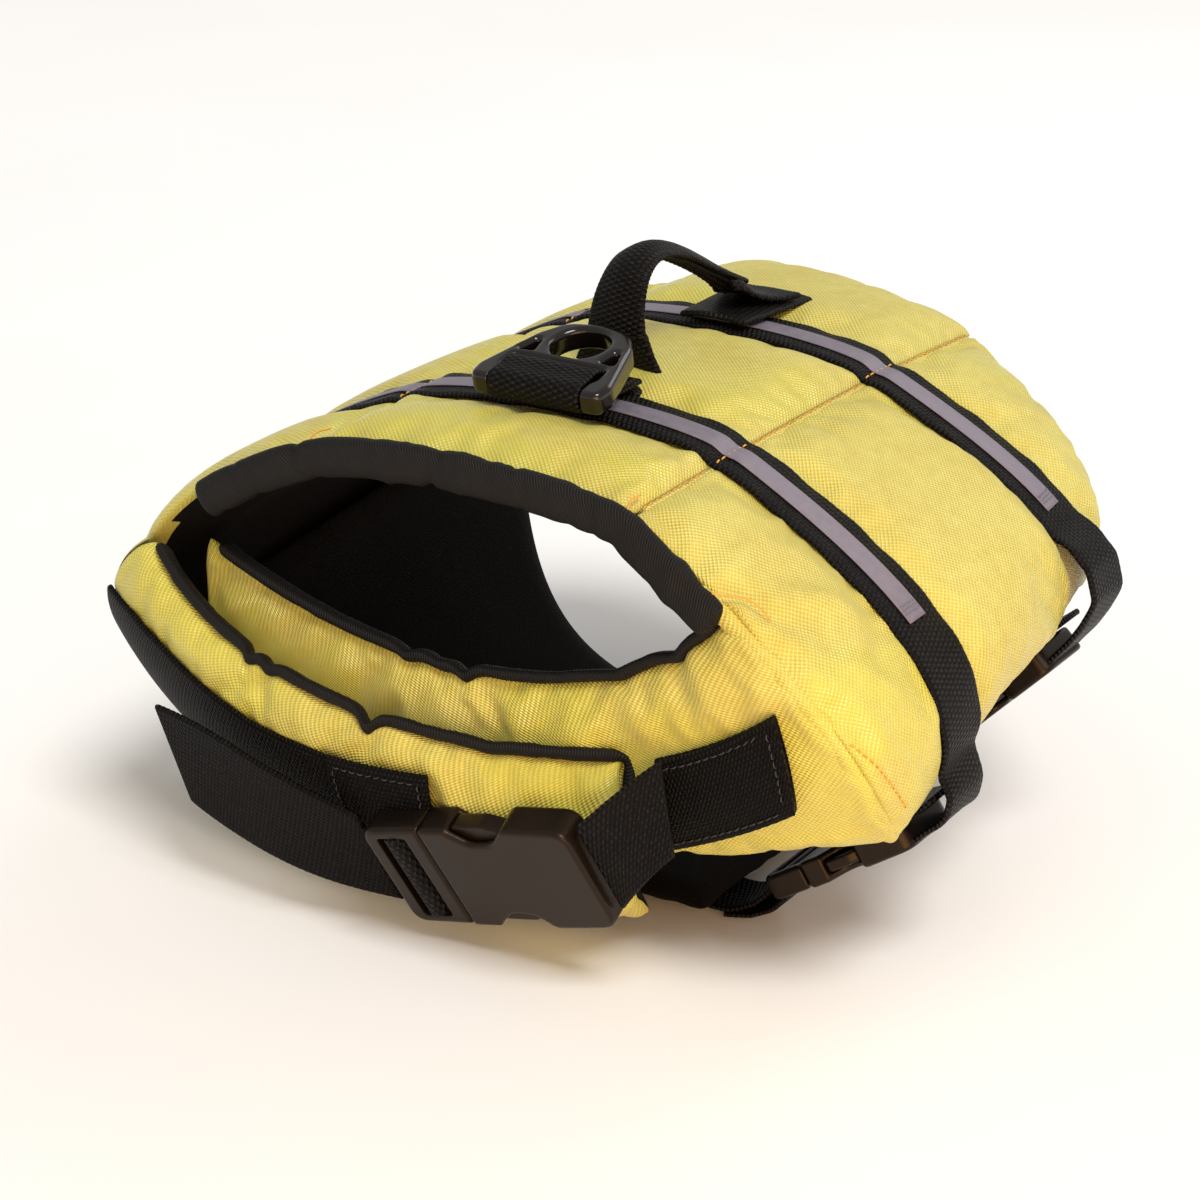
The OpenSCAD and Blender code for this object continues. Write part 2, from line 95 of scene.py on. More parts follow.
# ---------------------------------------------------------------- curves and nets

def bernstein(t):
    t = np.asarray(t, float)[..., None]
    k = np.arange(4)
    return np.array([1, 3, 3, 1]) * t ** k * (1 - t) ** (3 - k)


def on_net(net, u, v):
    return np.einsum("...i,...j,ijk->...k", bernstein(v), bernstein(u), np.asarray(net, float))


def unit(a):
    return a / np.maximum(np.linalg.norm(a, axis=-1, keepdims=True), 1e-9)


def inward(net, u, v, e=0.005):
    du = on_net(net, u + e, v) - on_net(net, u - e, v)
    dv = on_net(net, u, v + e) - on_net(net, u, v - e)
    return unit(np.cross(du, dv))


def on_cloth(net, u, v, out):
    """A place out mm off the net, on its outer side."""
    return on_net(net, u, v) - inward(net, u, v) * out


def grid_uv(rows, cols):
    return np.meshgrid(np.linspace(0, 1, rows), np.linspace(0, 1, cols), indexing="ij")


def turned_net(net):
    """The net with its u and v exchanged."""
    return [list(c) for c in zip(*net)]


def rest_of(p, t):
    """The control points of a curve's part from t to its end."""
    p = np.asarray(p, float)
    a, b, c = p[:-1] + (p[1:] - p[:-1]) * t
    d, e = a + (b - a) * t, b + (c - b) * t
    return [d + (e - d) * t, e, c, p[3]]


def strip_net(top, bottom):
    top, bottom = np.asarray(top, float), np.asarray(bottom, float)
    return [top + (bottom - top) * k / 3 for k in range(4)]


SEAM_X, SEAM_Z, NECK_Y, TAIL_Y, CROWN = 45, 116, -57, 116, 6.5
NECK_END = 0.34        # where the neck binding ends on a flank's front edge
back_net = [[np.array([c[0] * SEAM_X, r[0], SEAM_Z + r[1] + c[1] * CROWN]) + c[2] * np.array(r[2])
             for c in ((1, 0, 0), (0.6, 1, 0.3), (-0.6, 1, 0.8), (-1, 0, 1))]
            for r in ((NECK_Y, -1, (0, 0, 0)), (NECK_Y + 58, 1, (0, 0, 0)),
                      (TAIL_Y - 58, 3, (1, 4, 1)), (TAIL_Y, -1, (5, 15, 4)))]
right_net = [[row[0] for row in back_net],
             [(66, -62, 104), (66, 8, 105), (68, 62, 107), (70, 104, 106)],
             [(112, -66, 76), (130, 12, 80), (122, 64, 83), (113, 86, 87)],
             [(104, -37, 41), (101, -12, 50), (101, 38, 58), (95, 75, 65)]]
left_net = [[row[3] for row in back_net],
            [(-72, -60, 106), (-72, 8, 107), (-70, 66, 108), (-64, 112, 108)],
            [(-118, -66, 79), (-132, 12, 82), (-124, 68, 84), (-112, 100, 86)],
            [(-104, -38, 41), (-101, -12, 48), (-100, 42, 55), (-97, 92, 60)]]
left_faced = [row[::-1] for row in left_net]
ridge = rest_of([row[0] for row in right_net], NECK_END)
inner_net = [[ridge[3], (68, -58, 34), (0, -43, 6), (-74, -44, 26)],
             [ridge[2], (60, -66, 38), (-20, -57, 26), (-80, -53, 46)],
             [ridge[1], (48, -64, 52), (-25, -63, 46), (-84, -57, 66)],
             [ridge[0], (38, -56, 61), (-24, -60, 60), (-82, -55, 84)]]
outer_net = [[(-93, -60, 83), (-71, -74, 66), (-20, -77, 50), (40, -64, 58)],
             [(-110, -66, 75), (-72, -83, 53), (-15, -84, 40), (42, -71, 43)],
             [(-114, -58, 53), (-72, -78, 29), (-15, -70, 12), (40, -61, 18)],
             [(-102, -44, 38), (-64, -56, 8), (-10, -50, 1), (38, -44, 6)]]
belly_net = [[(x, y0, z), (-86, y0, -12), (-30, y1, 3), (50, y1, 4)]
             for y0, y1, x, z in ((-30, -30, -97, 47), (8, 4, -95, 52), (50, 38, -93, 58), (93, 72, -89, 65))]
PAD = 10
BELLY_PAD = 5


# ---------------------------------------------------------------- mesh helpers

def new_mesh(name, verts, faces, material=None, uv=None, smooth=True, material_ids=None):
    """A mesh object from row-frame metres. uv gives one (u, v) in metres per vertex."""
    mesh = bpy.data.meshes.new(name)
    mesh.from_pydata([tuple(v) for v in verts], [], [tuple(f) for f in faces])
    if uv is not None:
        layer = mesh.uv_layers.new(name="UVMap")
        loops = np.empty(len(mesh.loops), np.int32)
        mesh.loops.foreach_get("vertex_index", loops)
        layer.data.foreach_set("uv", np.asarray(uv, np.float32)[loops].ravel())
    for m in (material if isinstance(material, (list, tuple)) else [material]):
        if m is not None:
            mesh.materials.append(m)
    if material_ids is not None:
        mesh.polygons.foreach_set("material_index", np.asarray(material_ids, np.int32))
    if smooth:
        mesh.polygons.foreach_set("use_smooth", np.ones(len(mesh.polygons), bool))
    mesh.validate()
    mesh.update()
    return added(name, mesh)


def coordinates(mesh):
    co = np.empty(len(mesh.vertices) * 3, np.float32)
    mesh.vertices.foreach_get("co", co)
    return co.reshape(-1, 3)


def settle(obj, *modifiers):
    """Adds modifiers given as (type, {setting: value}) and applies them all."""
    for kind, values in modifiers:
        m = obj.modifiers.new(kind.lower(), kind)
        for key, value in values.items():
            setattr(m, key, value)
    bpy.context.view_layer.update()
    depsgraph = bpy.context.evaluated_depsgraph_get()
    mesh = bpy.data.meshes.new_from_object(obj.evaluated_get(depsgraph))
    old = obj.data
    obj.modifiers.clear()
    obj.data = mesh
    mesh.name = obj.name
    bpy.data.meshes.remove(old)
    return obj


def tube_faces(rows, around, start=0, flip=False):
    """The faces of a tube of rings, with a cap at each end."""
    faces = []
    for j in range(rows - 1):
        for i in range(around):
            a, b = (start + j * around + k % around for k in (i, i + 1))
            faces.append((a, a + around, b + around, b) if flip else (a, b, b + around, a + around))
    first = list(range(start, start + around))
    last = [k + (rows - 1) * around for k in first]
    return faces + ([first, last[::-1]] if flip else [first[::-1], last])


def run_of(line):
    """The distance along a line of points, from its first one."""
    return np.concatenate([[0], np.cumsum(np.linalg.norm(np.diff(line, axis=0), axis=1))])


def arc_lengths(points):
    """(across, along) distances in mm for a grid of points, from its first column and row."""
    du = np.linalg.norm(np.diff(points, axis=1), axis=-1)
    dv = np.linalg.norm(np.diff(points, axis=0), axis=-1)
    s = np.concatenate([np.zeros((points.shape[0], 1)), np.cumsum(du, axis=1)], axis=1)
    t = np.concatenate([np.zeros((1, points.shape[1])), np.cumsum(dv, axis=0)], axis=0)
    return s, t


def closed_shell(outer, inner):
    """A solid between two grids that share their rim: its vertices and faces, and each grid's vertex numbers.
    The outer grid's faces come first, then as many of the inner one's."""
    rows, cols = outer.shape[:2]
    verts = [*outer.reshape(-1, 3)]
    index = np.arange(rows * cols).reshape(rows, cols)
    back = index.copy()
    for j in range(1, rows - 1):
        for i in range(1, cols - 1):
            back[j, i] = len(verts)
            verts.append(inner[j, i])
    cells = [(j, i) for j in range(rows - 1) for i in range(cols - 1)]
    faces = [(index[j + 1, i], index[j + 1, i + 1], index[j, i + 1], index[j, i]) for j, i in cells]
    faces += [(back[j, i], back[j, i + 1], back[j + 1, i + 1], back[j + 1, i]) for j, i in cells]
    return np.array(verts), faces, index, back


# ---------------------------------------------------------------- materials

class Graph:
    """A Principled material under construction."""

    def __init__(self, name, **settings):
        self.material = bpy.data.materials.new(name)
        self.material.use_nodes = True
        self.tree = self.material.node_tree
        self.shader = self.tree.nodes["Principled BSDF"]
        for key, value in settings.items():
            self.shader.inputs[key.replace("_", " ")].default_value = value

    def add(self, kind, *inputs, **settings):
        node = self.tree.nodes.new("ShaderNode" + kind)
        for key, value in settings.items():
            setattr(node, key, value)
        for socket, value in zip(node.inputs, inputs):
            if value is not None:
                self.feed(socket, value)
        return node.outputs[0]

    def feed(self, socket, value):
        if isinstance(value, bpy.types.NodeSocket):
            self.tree.links.new(value, socket)
        else:
            socket.default_value = value

    def math(self, operation, *values):
        return self.add("Math", *values, operation=operation)

    def uv(self):
        split = self.tree.nodes.new("ShaderNodeSeparateXYZ")
        self.tree.links.new(self.add("UVMap", uv_map="UVMap"), split.inputs[0])
        return split.outputs[0], split.outputs[1]

    def wave(self, distance, pitch):
        """Sine of a distance in metres, one cycle per pitch in millimetres."""
        return self.math("SINE", self.math("MULTIPLY_ADD", distance, 2 * math.pi / (pitch * MM), 0.0))

    def noise(self, scale, detail=3.0, roughness=0.5):
        node = self.tree.nodes.new("ShaderNodeTexNoise")
        for key, value in (("Scale", scale), ("Detail", detail), ("Roughness", roughness)):
            node.inputs[key].default_value = value
        where = self.tree.nodes.new("ShaderNodeTexCoord").outputs["Object"]
        self.tree.links.new(where, node.inputs["Vector"])
        return node.outputs[0]

    def ramp(self, value, low, high, to_low=0.0, to_high=1.0):
        return self.add("MapRange", value, low, high, to_low, to_high)

    def blend(self, factor, a, b):
        node = self.tree.nodes.new("ShaderNodeMix")
        node.data_type = "RGBA"
        for socket, value in ((0, factor), (6, a), (7, b)):
            self.feed(node.inputs[socket], value)
        return node.outputs[2]

    def finish(self, color=None, roughness=None, height=None, depth=0.1, strength=1.0):
        """Joins what varies. depth is the bump's height in millimetres."""
        if color is not None:
            self.feed(self.shader.inputs["Base Color"], color)
        if roughness is not None:
            self.feed(self.shader.inputs["Roughness"], roughness)
        if height is not None:
            bump = self.tree.nodes.new("ShaderNodeBump")
            bump.inputs["Strength"].default_value = strength
            bump.inputs["Distance"].default_value = depth * MM
            self.feed(bump.inputs["Height"], height)
            self.tree.links.new(bump.outputs[0], self.shader.inputs["Normal"])
        return self.material


def rgb(r, g, b):
    return (r, g, b, 1.0)


def woven(name, dark, light, pitch, depth, roughness, cloudy=0.12, slick=None, **settings):
    """Plain-woven cloth: raised crossings in a chequer, from the UV map's metres."""
    g = Graph(name, **settings)
    u, v = g.uv()
    crossing = g.math("MULTIPLY", g.wave(u, 2 * pitch), g.wave(v, 2 * pitch))
    raised = g.ramp(crossing, -0.9, 0.9)
    threads = g.math("MULTIPLY", g.noise(260, 2.0), 0.5)
    cloud = g.noise(38, 3.0)
    # painted shade and highlight: the colour runs from dark in the weave's hollows to light on its raised crossings,
    # with random thread and cloud tone on top
    tone = g.math("ADD", g.math("MULTIPLY", raised, 0.75), threads)
    tone = g.math("ADD", tone, g.ramp(cloud, 0.3, 0.7, -cloudy, cloudy))
    color = g.blend(g.ramp(tone, 0.05, 1.1), rgb(*dark), rgb(*light))
    rough = g.ramp(g.math("ADD", raised, cloud), 0.3, 1.7, roughness + 0.07, roughness - 0.07)
    if slick:
        # glossy patches at random: the roughness drops there, and the colour shifts to a darker green-yellow as painted
        # sheen
        sheen_patch = g.ramp(g.noise(17, 2.0, 0.4), 0.535, 0.575)
        color = g.blend(g.math("MULTIPLY", sheen_patch, 0.45), color, rgb(*slick))
        rough = g.math("SUBTRACT", rough, g.math("MULTIPLY", sheen_patch, 0.16))
    return g.finish(color, rough, raised, depth)


def webbed(name, dark, light, column, pick, depth, roughness, **settings):
    """Narrow webbing: columns of picks along its length, each column set half a pick on."""
    g = Graph(name, **settings)
    u, v = g.uv()
    across = g.math("DIVIDE", u, column * MM)
    step = g.math("MULTIPLY", g.math("FLOOR", across), math.pi)
    picks = g.math("SINE", g.math("ADD", g.math("MULTIPLY", v, 2 * math.pi / (pick * MM)), step))
    round_column = g.math("ABSOLUTE", g.math("SINE", g.math("MULTIPLY", across, math.pi)))
    raised = g.math("MULTIPLY", g.ramp(picks, -0.8, 1.0), g.ramp(round_column, 0.0, 0.8))
    fuzz = g.noise(900, 2.0)
    # painted highlights: the raised picks are painted lighter, flecked by noise
    lit = g.math("MULTIPLY", raised, g.ramp(fuzz, 0.35, 0.75, 0.25, 1.0))
    color = g.blend(lit, rgb(*dark), rgb(*light))
    return g.finish(color, roughness, raised, depth)


def ribbed(name, dark, light, pitch, depth, roughness, **settings):
    """Grosgrain: ribs straight across the tape."""
    g = Graph(name, **settings)
    ribs = g.ramp(g.wave(g.uv()[1], pitch), -1.0, 1.0)
    fuzz = g.noise(700, 3.0)
    raised = g.math("ADD", ribs, g.math("MULTIPLY", fuzz, 0.5))
    # painted shade and highlight: the colour follows the rib height, darker in the grooves between ribs
    color = g.blend(g.ramp(raised, 0.2, 1.3), rgb(*dark), rgb(*light))
    return g.finish(color, roughness, raised, depth)


def moulded(name, dark, light, grain, roughness, depth=0.02, scuffs=0.08, **settings):
    """Moulded plastic: spark-eroded grain, faint flow marks and scuffed patches."""
    g = Graph(name, **settings)
    fine = g.noise(grain, 2.0)
    broad = g.noise(55, 4.0, 0.6)
    color = g.blend(g.ramp(broad, 0.35, 0.7), rgb(*dark), rgb(*light))
    rough = g.ramp(broad, 0.3, 0.75, roughness - scuffs, roughness + scuffs)
    return g.finish(color, rough, fine, depth, 0.5)


# dark is a deep orange, painted into the weave's hollows as warm shade; light is a pale yellow, painted on the
# crossings as highlight
yellow_cloth = woven("yellow_cloth", (0.475, 0.342, 0.011), (0.720, 0.667, 0.150), 0.62, 0.26, 0.41,
                     slick=(0.62, 0.565, 0.046),
                     Sheen_Weight=0.16, Sheen_Roughness=0.4, Specular_IOR_Level=0.75)
black_cloth = woven("black_cloth", (0.0022, 0.0016, 0.0013), (0.0060, 0.0044, 0.0036), 0.5, 0.10, 0.85,
                    Specular_IOR_Level=0.12)
webbing = webbed("webbing", (0.0008, 0.0006, 0.0006), (0.026, 0.022, 0.021), 1.5, 1.35, 0.60, 0.46,
                 Specular_IOR_Level=0.13)
fine_webbing = webbed("fine_webbing", (0.0008, 0.0006, 0.0006), (0.018, 0.015, 0.014), 1.25, 1.2, 0.45, 0.52,
                      Specular_IOR_Level=0.09)
grosgrain = ribbed("grosgrain", (0.0018, 0.0015, 0.0013), (0.010, 0.0082, 0.0072), 0.75, 0.16, 0.62,
                   Specular_IOR_Level=0.22)
# the brown tint of the black base and the orange specular tint are painted reflection: they stand in for warm light
# reflected up from below
buckle_plastic = moulded("buckle_plastic", (0.0058, 0.0036, 0.0024), (0.0098, 0.0060, 0.0040), 2600, 0.33,
                         Specular_IOR_Level=0.27, Specular_Tint=rgb(1.0, 0.78, 0.60))
ring_plastic = moulded("ring_plastic", (0.0045, 0.0030, 0.0024), (0.0075, 0.0050, 0.0038), 1400, 0.17, 0.012, 0.05,
                       Specular_IOR_Level=0.42, Coat_Weight=0.15, Coat_Roughness=0.1)


# ---------------------------------------------------------------- padded panels

CELL = 2.4             # mm between a panel's grid lines
SIM_SCALE = 0.01       # the cloth runs on a copy ten times full size
CLOTH_FRAMES = 18
CLOTH = {"quality": 5, "mass": 0.15, "tension_stiffness": 25, "compression_stiffness": 25, "shear_stiffness": 8,
         "bending_stiffness": 0.05, "air_damping": 4, "vertex_group_mass": "hold", "use_pressure": True}
TURNED_IN = 5          # mm of cover cloth inside a folded edge
FOLD_DEPTH = 0.6       # an edge that sits less deep than this is a fold
GROUND_GAP = 1.7       # mm that the cloth keeps off the ground


def notch_shift(net, u, v, notches):
    """How far the top edge of a flap is drawn down at its notches, given as (u, half width in u, depth in mm).
    The sign of the depth tells whether the top is the edge v = 0 (+) or v = 1 (-)."""
    down = unit(on_net(net, u, v + 0.01) - on_net(net, u, v - 0.01))
    shift = np.zeros(u.shape)
    for at, half, depth in notches:
        from_top = v if depth > 0 else 1 - v
        shift += depth * np.exp(-np.abs((u - at) / half) ** 1.5) * np.exp(-from_top / 0.16)
    return down * shift[..., None]


OUTER_NOTCHES = ((0.40, 0.010, 2.4), (0.447, 0.010, 2.0), (0.655, 0.014, 4.4), (0.85, 0.02, 0.8))
INNER_NOTCHES = ((0.63, 0.010, -1.8), (0.57, 0.012, -1.2), (0.53, 0.012, -3.0), (0.13, 0.02, -2.0), (0.25, 0.03, -1.2))


def band_top(u):
    """Where the chest webbing's upper edge runs on the outer flap."""
    return np.interp(u, [0, 0.1, 0.2, 0.31, 0.43, 0.59, 0.77], [0.41, 0.355, 0.335, 0.345, 0.345, 0.30, 0.225])


class Panel:
    """A padded panel between the grids of a net: an outer cloth and a lining that meet at its rim.
    edges gives, for u = 0, u = 1, v = 0 and v = 1, how deep the rim sits and over how many mm it rounds off."""

    def __init__(self, name, net, thickness, edges, nodes, span=((0, 1), (0, 1)), folds=(), nips=(), notches=(),
                 looseness=0.05, pressure=1.6, cap=3.2, plain_black=False):
        self.name, self.net, self.nodes = name, net, nodes
        self.looseness, self.pressure, self.cap, self.plain_black = looseness, pressure, cap, plain_black
        (u0, u1), (v0, v1) = span
        coarse = on_net(net, *np.meshgrid(np.linspace(u0, u1, 30), np.linspace(v0, v1, 30)))
        s, t = arc_lengths(coarse)
        cols = int(s[:, -1].max() / CELL) + 1
        rows = int(t[-1].max() / CELL) + 1
        self.u, self.v = np.meshgrid(np.linspace(u0, u1, cols), np.linspace(v0, v1, rows))
        self.face = on_net(net, self.u, self.v)
        self.inward = inward(net, self.u, self.v)
        self.s, self.t = arc_lengths(self.face)
        if notches:
            self.face = self.face + notch_shift(net, self.u, self.v, notches)
        away = (self.s, self.s[:, -1:] - self.s, self.t, self.t[-1:] - self.t)
        dip, share = np.zeros(self.u.shape), np.ones(self.u.shape)
        self.from_rim = np.min(away, axis=0)
        self.from_fold = np.min([d if depth < FOLD_DEPTH else d + 99 for d, (depth, _) in zip(away, edges)],
                                axis=0)
        for d, (depth, radius) in zip(away, edges):
            q = np.clip(d / radius, 0, 1)
            round_off = np.sqrt(1 - (1 - q) ** 2)
            dip = np.maximum(dip, depth * (1 - round_off))
            share = share * (np.clip(d / 17, 0, 1) if depth < FOLD_DEPTH else
                             np.sqrt(1 - (1 - np.clip(d / max(radius, 9), 0, 1)) ** 2))
        dip = dip - self.raised(folds, nips)
        deep = np.maximum(dip, 0) + (thickness - np.maximum(dip, 0)) * share
        self.outer = self.face + self.inward * dip[..., None]
        self.inner = self.face + self.inward * deep[..., None]
        self.hold = np.clip(1 - self.from_rim / 3.0, 0, 1)

    def spot(self, u, v):
        i = int(round((u - self.u[0, 0]) / (self.u[0, -1] - self.u[0, 0]) * (self.u.shape[1] - 1)))
        j = int(round((v - self.v[0, 0]) / (self.v[-1, 0] - self.v[0, 0]) * (self.u.shape[0] - 1)))
        return self.s[j, i], self.t[j, i]

    def raised(self, folds, nips):
        """Folds are ridges along a line, (u, v, u, v, half width, height), fading towards their end.
        Nips are places where the edge is drawn in, (u, v, radius, depth)."""
        lift = np.zeros(self.u.shape)
        for u0, v0, u1, v1, width, height in folds:
            a, b = np.array(self.spot(u0, v0)), np.array(self.spot(u1, v1))
            along = b - a
            run = ((self.s - a[0]) * along[0] + (self.t - a[1]) * along[1]) / max(along @ along, 1e-6)
            k = np.clip(run, 0, 1)
            off = np.hypot(self.s - a[0] - k * along[0], self.t - a[1] - k * along[1])
            lift += height * np.exp(-(off / width) ** 2) * (1 - k) ** 0.7
        for u, v, radius, depth in nips:
            a = self.spot(u, v)
            off = np.hypot(self.s - a[0], self.t - a[1])
            lift -= depth * np.exp(-(off / radius) ** 2)
        return lift

    def press(self, u0, u1, v0, v1, depth=0.3):
        """Holds the cloth down under webbing that lies on a part of the panel."""
        inside = (np.clip((self.u - u0) / 0.03, 0, 1) * np.clip((u1 - self.u) / 0.03, 0, 1)
                  * np.clip((self.v - v0(self.u)) / 0.06, 0, 1) * np.clip((v1(self.u) - self.v) / 0.06, 0, 1)) ** 0.4
        self.hold_down(inside, depth)

    def groove(self, y, width, depth=0.5):
        """Holds the cloth down under a strap that crosses the panel at y."""
        self.hold_down(np.clip((width / 2 + 1.5 - abs(self.face[..., 1] - y)) / 1.5, 0, 1), depth)

    def hold_down(self, inside, depth):
        self.outer += self.inward * (inside * depth)[..., None]
        self.hold = np.maximum(self.hold, inside * 0.9)

    def copy_for_cloth(self):
        verts, faces, index, _ = closed_shell(self.outer, self.inner)
        obj = new_mesh(self.name + "_cloth", verts * SIM_SCALE, faces)
        group = obj.vertex_groups.new(name="hold")
        weights = np.ones(len(verts))
        weights[index.ravel()] = self.hold.ravel()
        for k, w in enumerate(weights):
            if w > 0:
                group.add([k], float(w), "REPLACE")
        cloth = obj.modifiers.new("cloth", "CLOTH")
        for key, value in CLOTH.items():
            setattr(cloth.settings, key, value)
        cloth.settings.shrink_min = -self.looseness
        cloth.settings.uniform_pressure_force = self.pressure
        cloth.settings.effector_weights.gravity = 0
        cloth.collision_settings.use_collision = False
        return obj

    def take(self, obj):
        """Moves the outer cloth to where the simulated copy ended, by at most cap."""
        depsgraph = bpy.context.evaluated_depsgraph_get()
        rows, cols = self.u.shape
        co = coordinates(obj.evaluated_get(depsgraph).to_mesh())
        moved = co[: rows * cols].reshape(rows, cols, 3) / SIM_SCALE - self.outer
        reach = np.linalg.norm(moved, axis=-1, keepdims=True)
        moved *= np.where(reach > self.cap, self.cap * (1 + np.log(np.maximum(reach, self.cap) / self.cap) * 0.3)
                          / np.maximum(reach, 1e-9), 1)
        self.outer = self.outer + moved
        self.outer[..., 2] = np.maximum(self.outer[..., 2], GROUND_GAP)
        bpy.data.objects.remove(obj)

    def build(self):
        verts, faces, index, back = closed_shell(self.outer, self.inner)
        uv = np.zeros((len(verts), 2))
        for grid in (back, index):
            uv[grid.ravel()] = np.stack([self.s, self.t], -1).reshape(-1, 2) * MM
        lining = self.from_fold[:-1, :-1].ravel() >= TURNED_IN
        obj = new_mesh(self.name, place(verts), faces, black_cloth if self.plain_black else [yellow_cloth, black_cloth],
                       uv, material_ids=None if self.plain_black else np.append(lining * 0, lining))
        settle(obj, ("SUBSURF", {"levels": 1, "render_levels": 1}))
        dressed(obj, VEST, self.nodes)


def three(name):
    return [f"{name}_{layer}" for layer in ("cover", "foam", "lining")]


# how deep an edge's rim sits and over how many mm it rounds off
SEAM, HEM = (1.3, 6), (2.2, 8)
BOUND = (2.6, 9)       # under a binding
FOLD = (0.5, 6)        # where one cloth turns a corner
LEAF = (0.2, 2)        # a thin edge
left_edge = rest_of([row[0] for row in left_net], 0.60)
corner_net = [[o, o + np.array((-3, 2, 1)), f + np.array((0.5, -5, 0)), f + np.array((0, 1.5, 0))]
              for o, f in zip([np.array(row[0], float) + np.array((0.8, -0.4, 0)) for row in outer_net], left_edge)]
corner_net = [row[::-1] for row in corner_net]
panels = [
    Panel("back_panel", back_net, PAD, (SEAM, SEAM, BOUND, HEM), three("back"), looseness=0.03,
          folds=[(0.07, 0, 0.075, 1, 2.6, 1.3), (0.93, 0, 0.925, 1, 2.6, 1.3)]),
    Panel("right_flank_panel", right_net, PAD, (FOLD, HEM, SEAM, HEM), three("right_flank"),
          folds=[(0, 0.34, 0.30, 0.52, 3.0, 2.0), (0, 0.36, 0.16, 0.72, 3.0, 2.4), (0, 0.27, 0.24, 0.22, 3, 1.3),
                 (0.03, 0.52, 0.12, 0.94, 3.0, 2.2), (0.0, 0.66, 0.04, 0.97, 2.4, 1.4),
                 (0.10, 0.42, 0.34, 0.66, 2.6, 1.4)],
          nips=[(0.07, 0.50, 4, 1.4), (0.14, 0.56, 4, 1.0), (0.03, 0.62, 3, 1.2)]),
    Panel("left_flank_panel", left_faced, PAD, (HEM, FOLD, SEAM, HEM), three("left_flank")),
    Panel("inner_flap_panel", inner_net, PAD, (FOLD, HEM, HEM, BOUND), three("inner_flap"), notches=INNER_NOTCHES,
          folds=[(0.10, 1, 0.13, 0.62, 3.2, 1.5), (0.0, 0.86, 0.08, 0.60, 3.0, 1.2), (0.53, 0.96, 0.52, 0.72, 2.6, 1.0),
                 (0.04, 0.97, 0.05, 0.75, 2.4, 1.0)]),
    Panel("outer_flap_panel", outer_net, PAD, (FOLD, (3.4, 7), BOUND, HEM), three("outer_flap"), notches=OUTER_NOTCHES,
          span=((0, 1.035), (0, 1)),
          folds=[(0.655, 0.10, 0.585, 0.34, 2.6, 1.4), (0.68, 0.06, 0.72, 0.22, 2.6, 0.9),
                 (0.42, 0.04, 0.41, 0.28, 2.4, 1.1), (1.03, 0.10, 0.95, 0.34, 2.4, 1.6),
                 (1.03, 0.80, 0.92, 0.70, 2.6, 1.3), (1.03, 0.30, 0.97, 0.45, 2.0, 1.0)],
          nips=[(0.655, 0.16, 4, 1.3), (0.43, 0.12, 3, 0.9), (0.60, 0.22, 4, 0.8)]),
    Panel("left_corner_panel", corner_net, 3, (LEAF, LEAF, LEAF, LEAF), (), looseness=0.0, cap=0.6),
    Panel("belly_panel", belly_net, BELLY_PAD, (HEM, HEM, HEM, HEM), three("belly"), span=((-0.07, 1), (0, 1)),
          plain_black=True, looseness=0.02),
]
back_panel, right_panel, left_panel, inner_panel, outer_panel = panels[:5]
inner_panel.press(0.03, 0.34, lambda u: 0.10 + 0 * u, lambda u: 0.68 + 0 * u)
outer_panel.press(-0.05, 0.78, band_top, lambda u: band_top(u) + 0.43)
FRONT_Y, REAR_Y, BODY_WEB = -13, 61, 16
for p in (back_panel, right_panel, left_panel, panels[-1]):
    p.groove(FRONT_Y, BODY_WEB)
    p.groove(REAR_Y, BODY_WEB)
copies = [p.copy_for_cloth() for p in panels]
for step in range(1, CLOTH_FRAMES + 1):
    bpy.context.scene.frame_set(step)
for p, copy in zip(panels, copies):
    p.take(copy)
bpy.context.scene.frame_set(1)
for p in panels:
    p.build()


# ---------------------------------------------------------------- webbing and binding

def spread(points, count):
    """Resamples rows of points (rows x columns x 3) to count rows at even distances."""
    points = np.asarray(points, float)
    middle = points.mean(axis=1)
    s = run_of(middle)
    keep = np.concatenate([[True], np.diff(s) > 1e-6])
    points, s = points[keep], s[keep]
    at = np.linspace(0, s[-1], count)
    flat = points.reshape(len(points), -1)
    return np.stack([np.interp(at, s, flat[:, k]) for k in range(flat.shape[1])], -1).reshape(
        (count,) + points.shape[1:])


def relax(rows, turns):
    """Rounds the corners of a line of rows, keeping its ends."""
    rows = rows.copy()
    for _ in range(turns):
        rows[1:-1] = rows[1:-1] * 0.5 + (rows[:-2] + rows[2:]) * 0.25
    return rows


def normals_of(grid):
    along = np.gradient(grid, axis=0)
    across = np.gradient(grid, axis=1)
    return unit(np.cross(along, across))


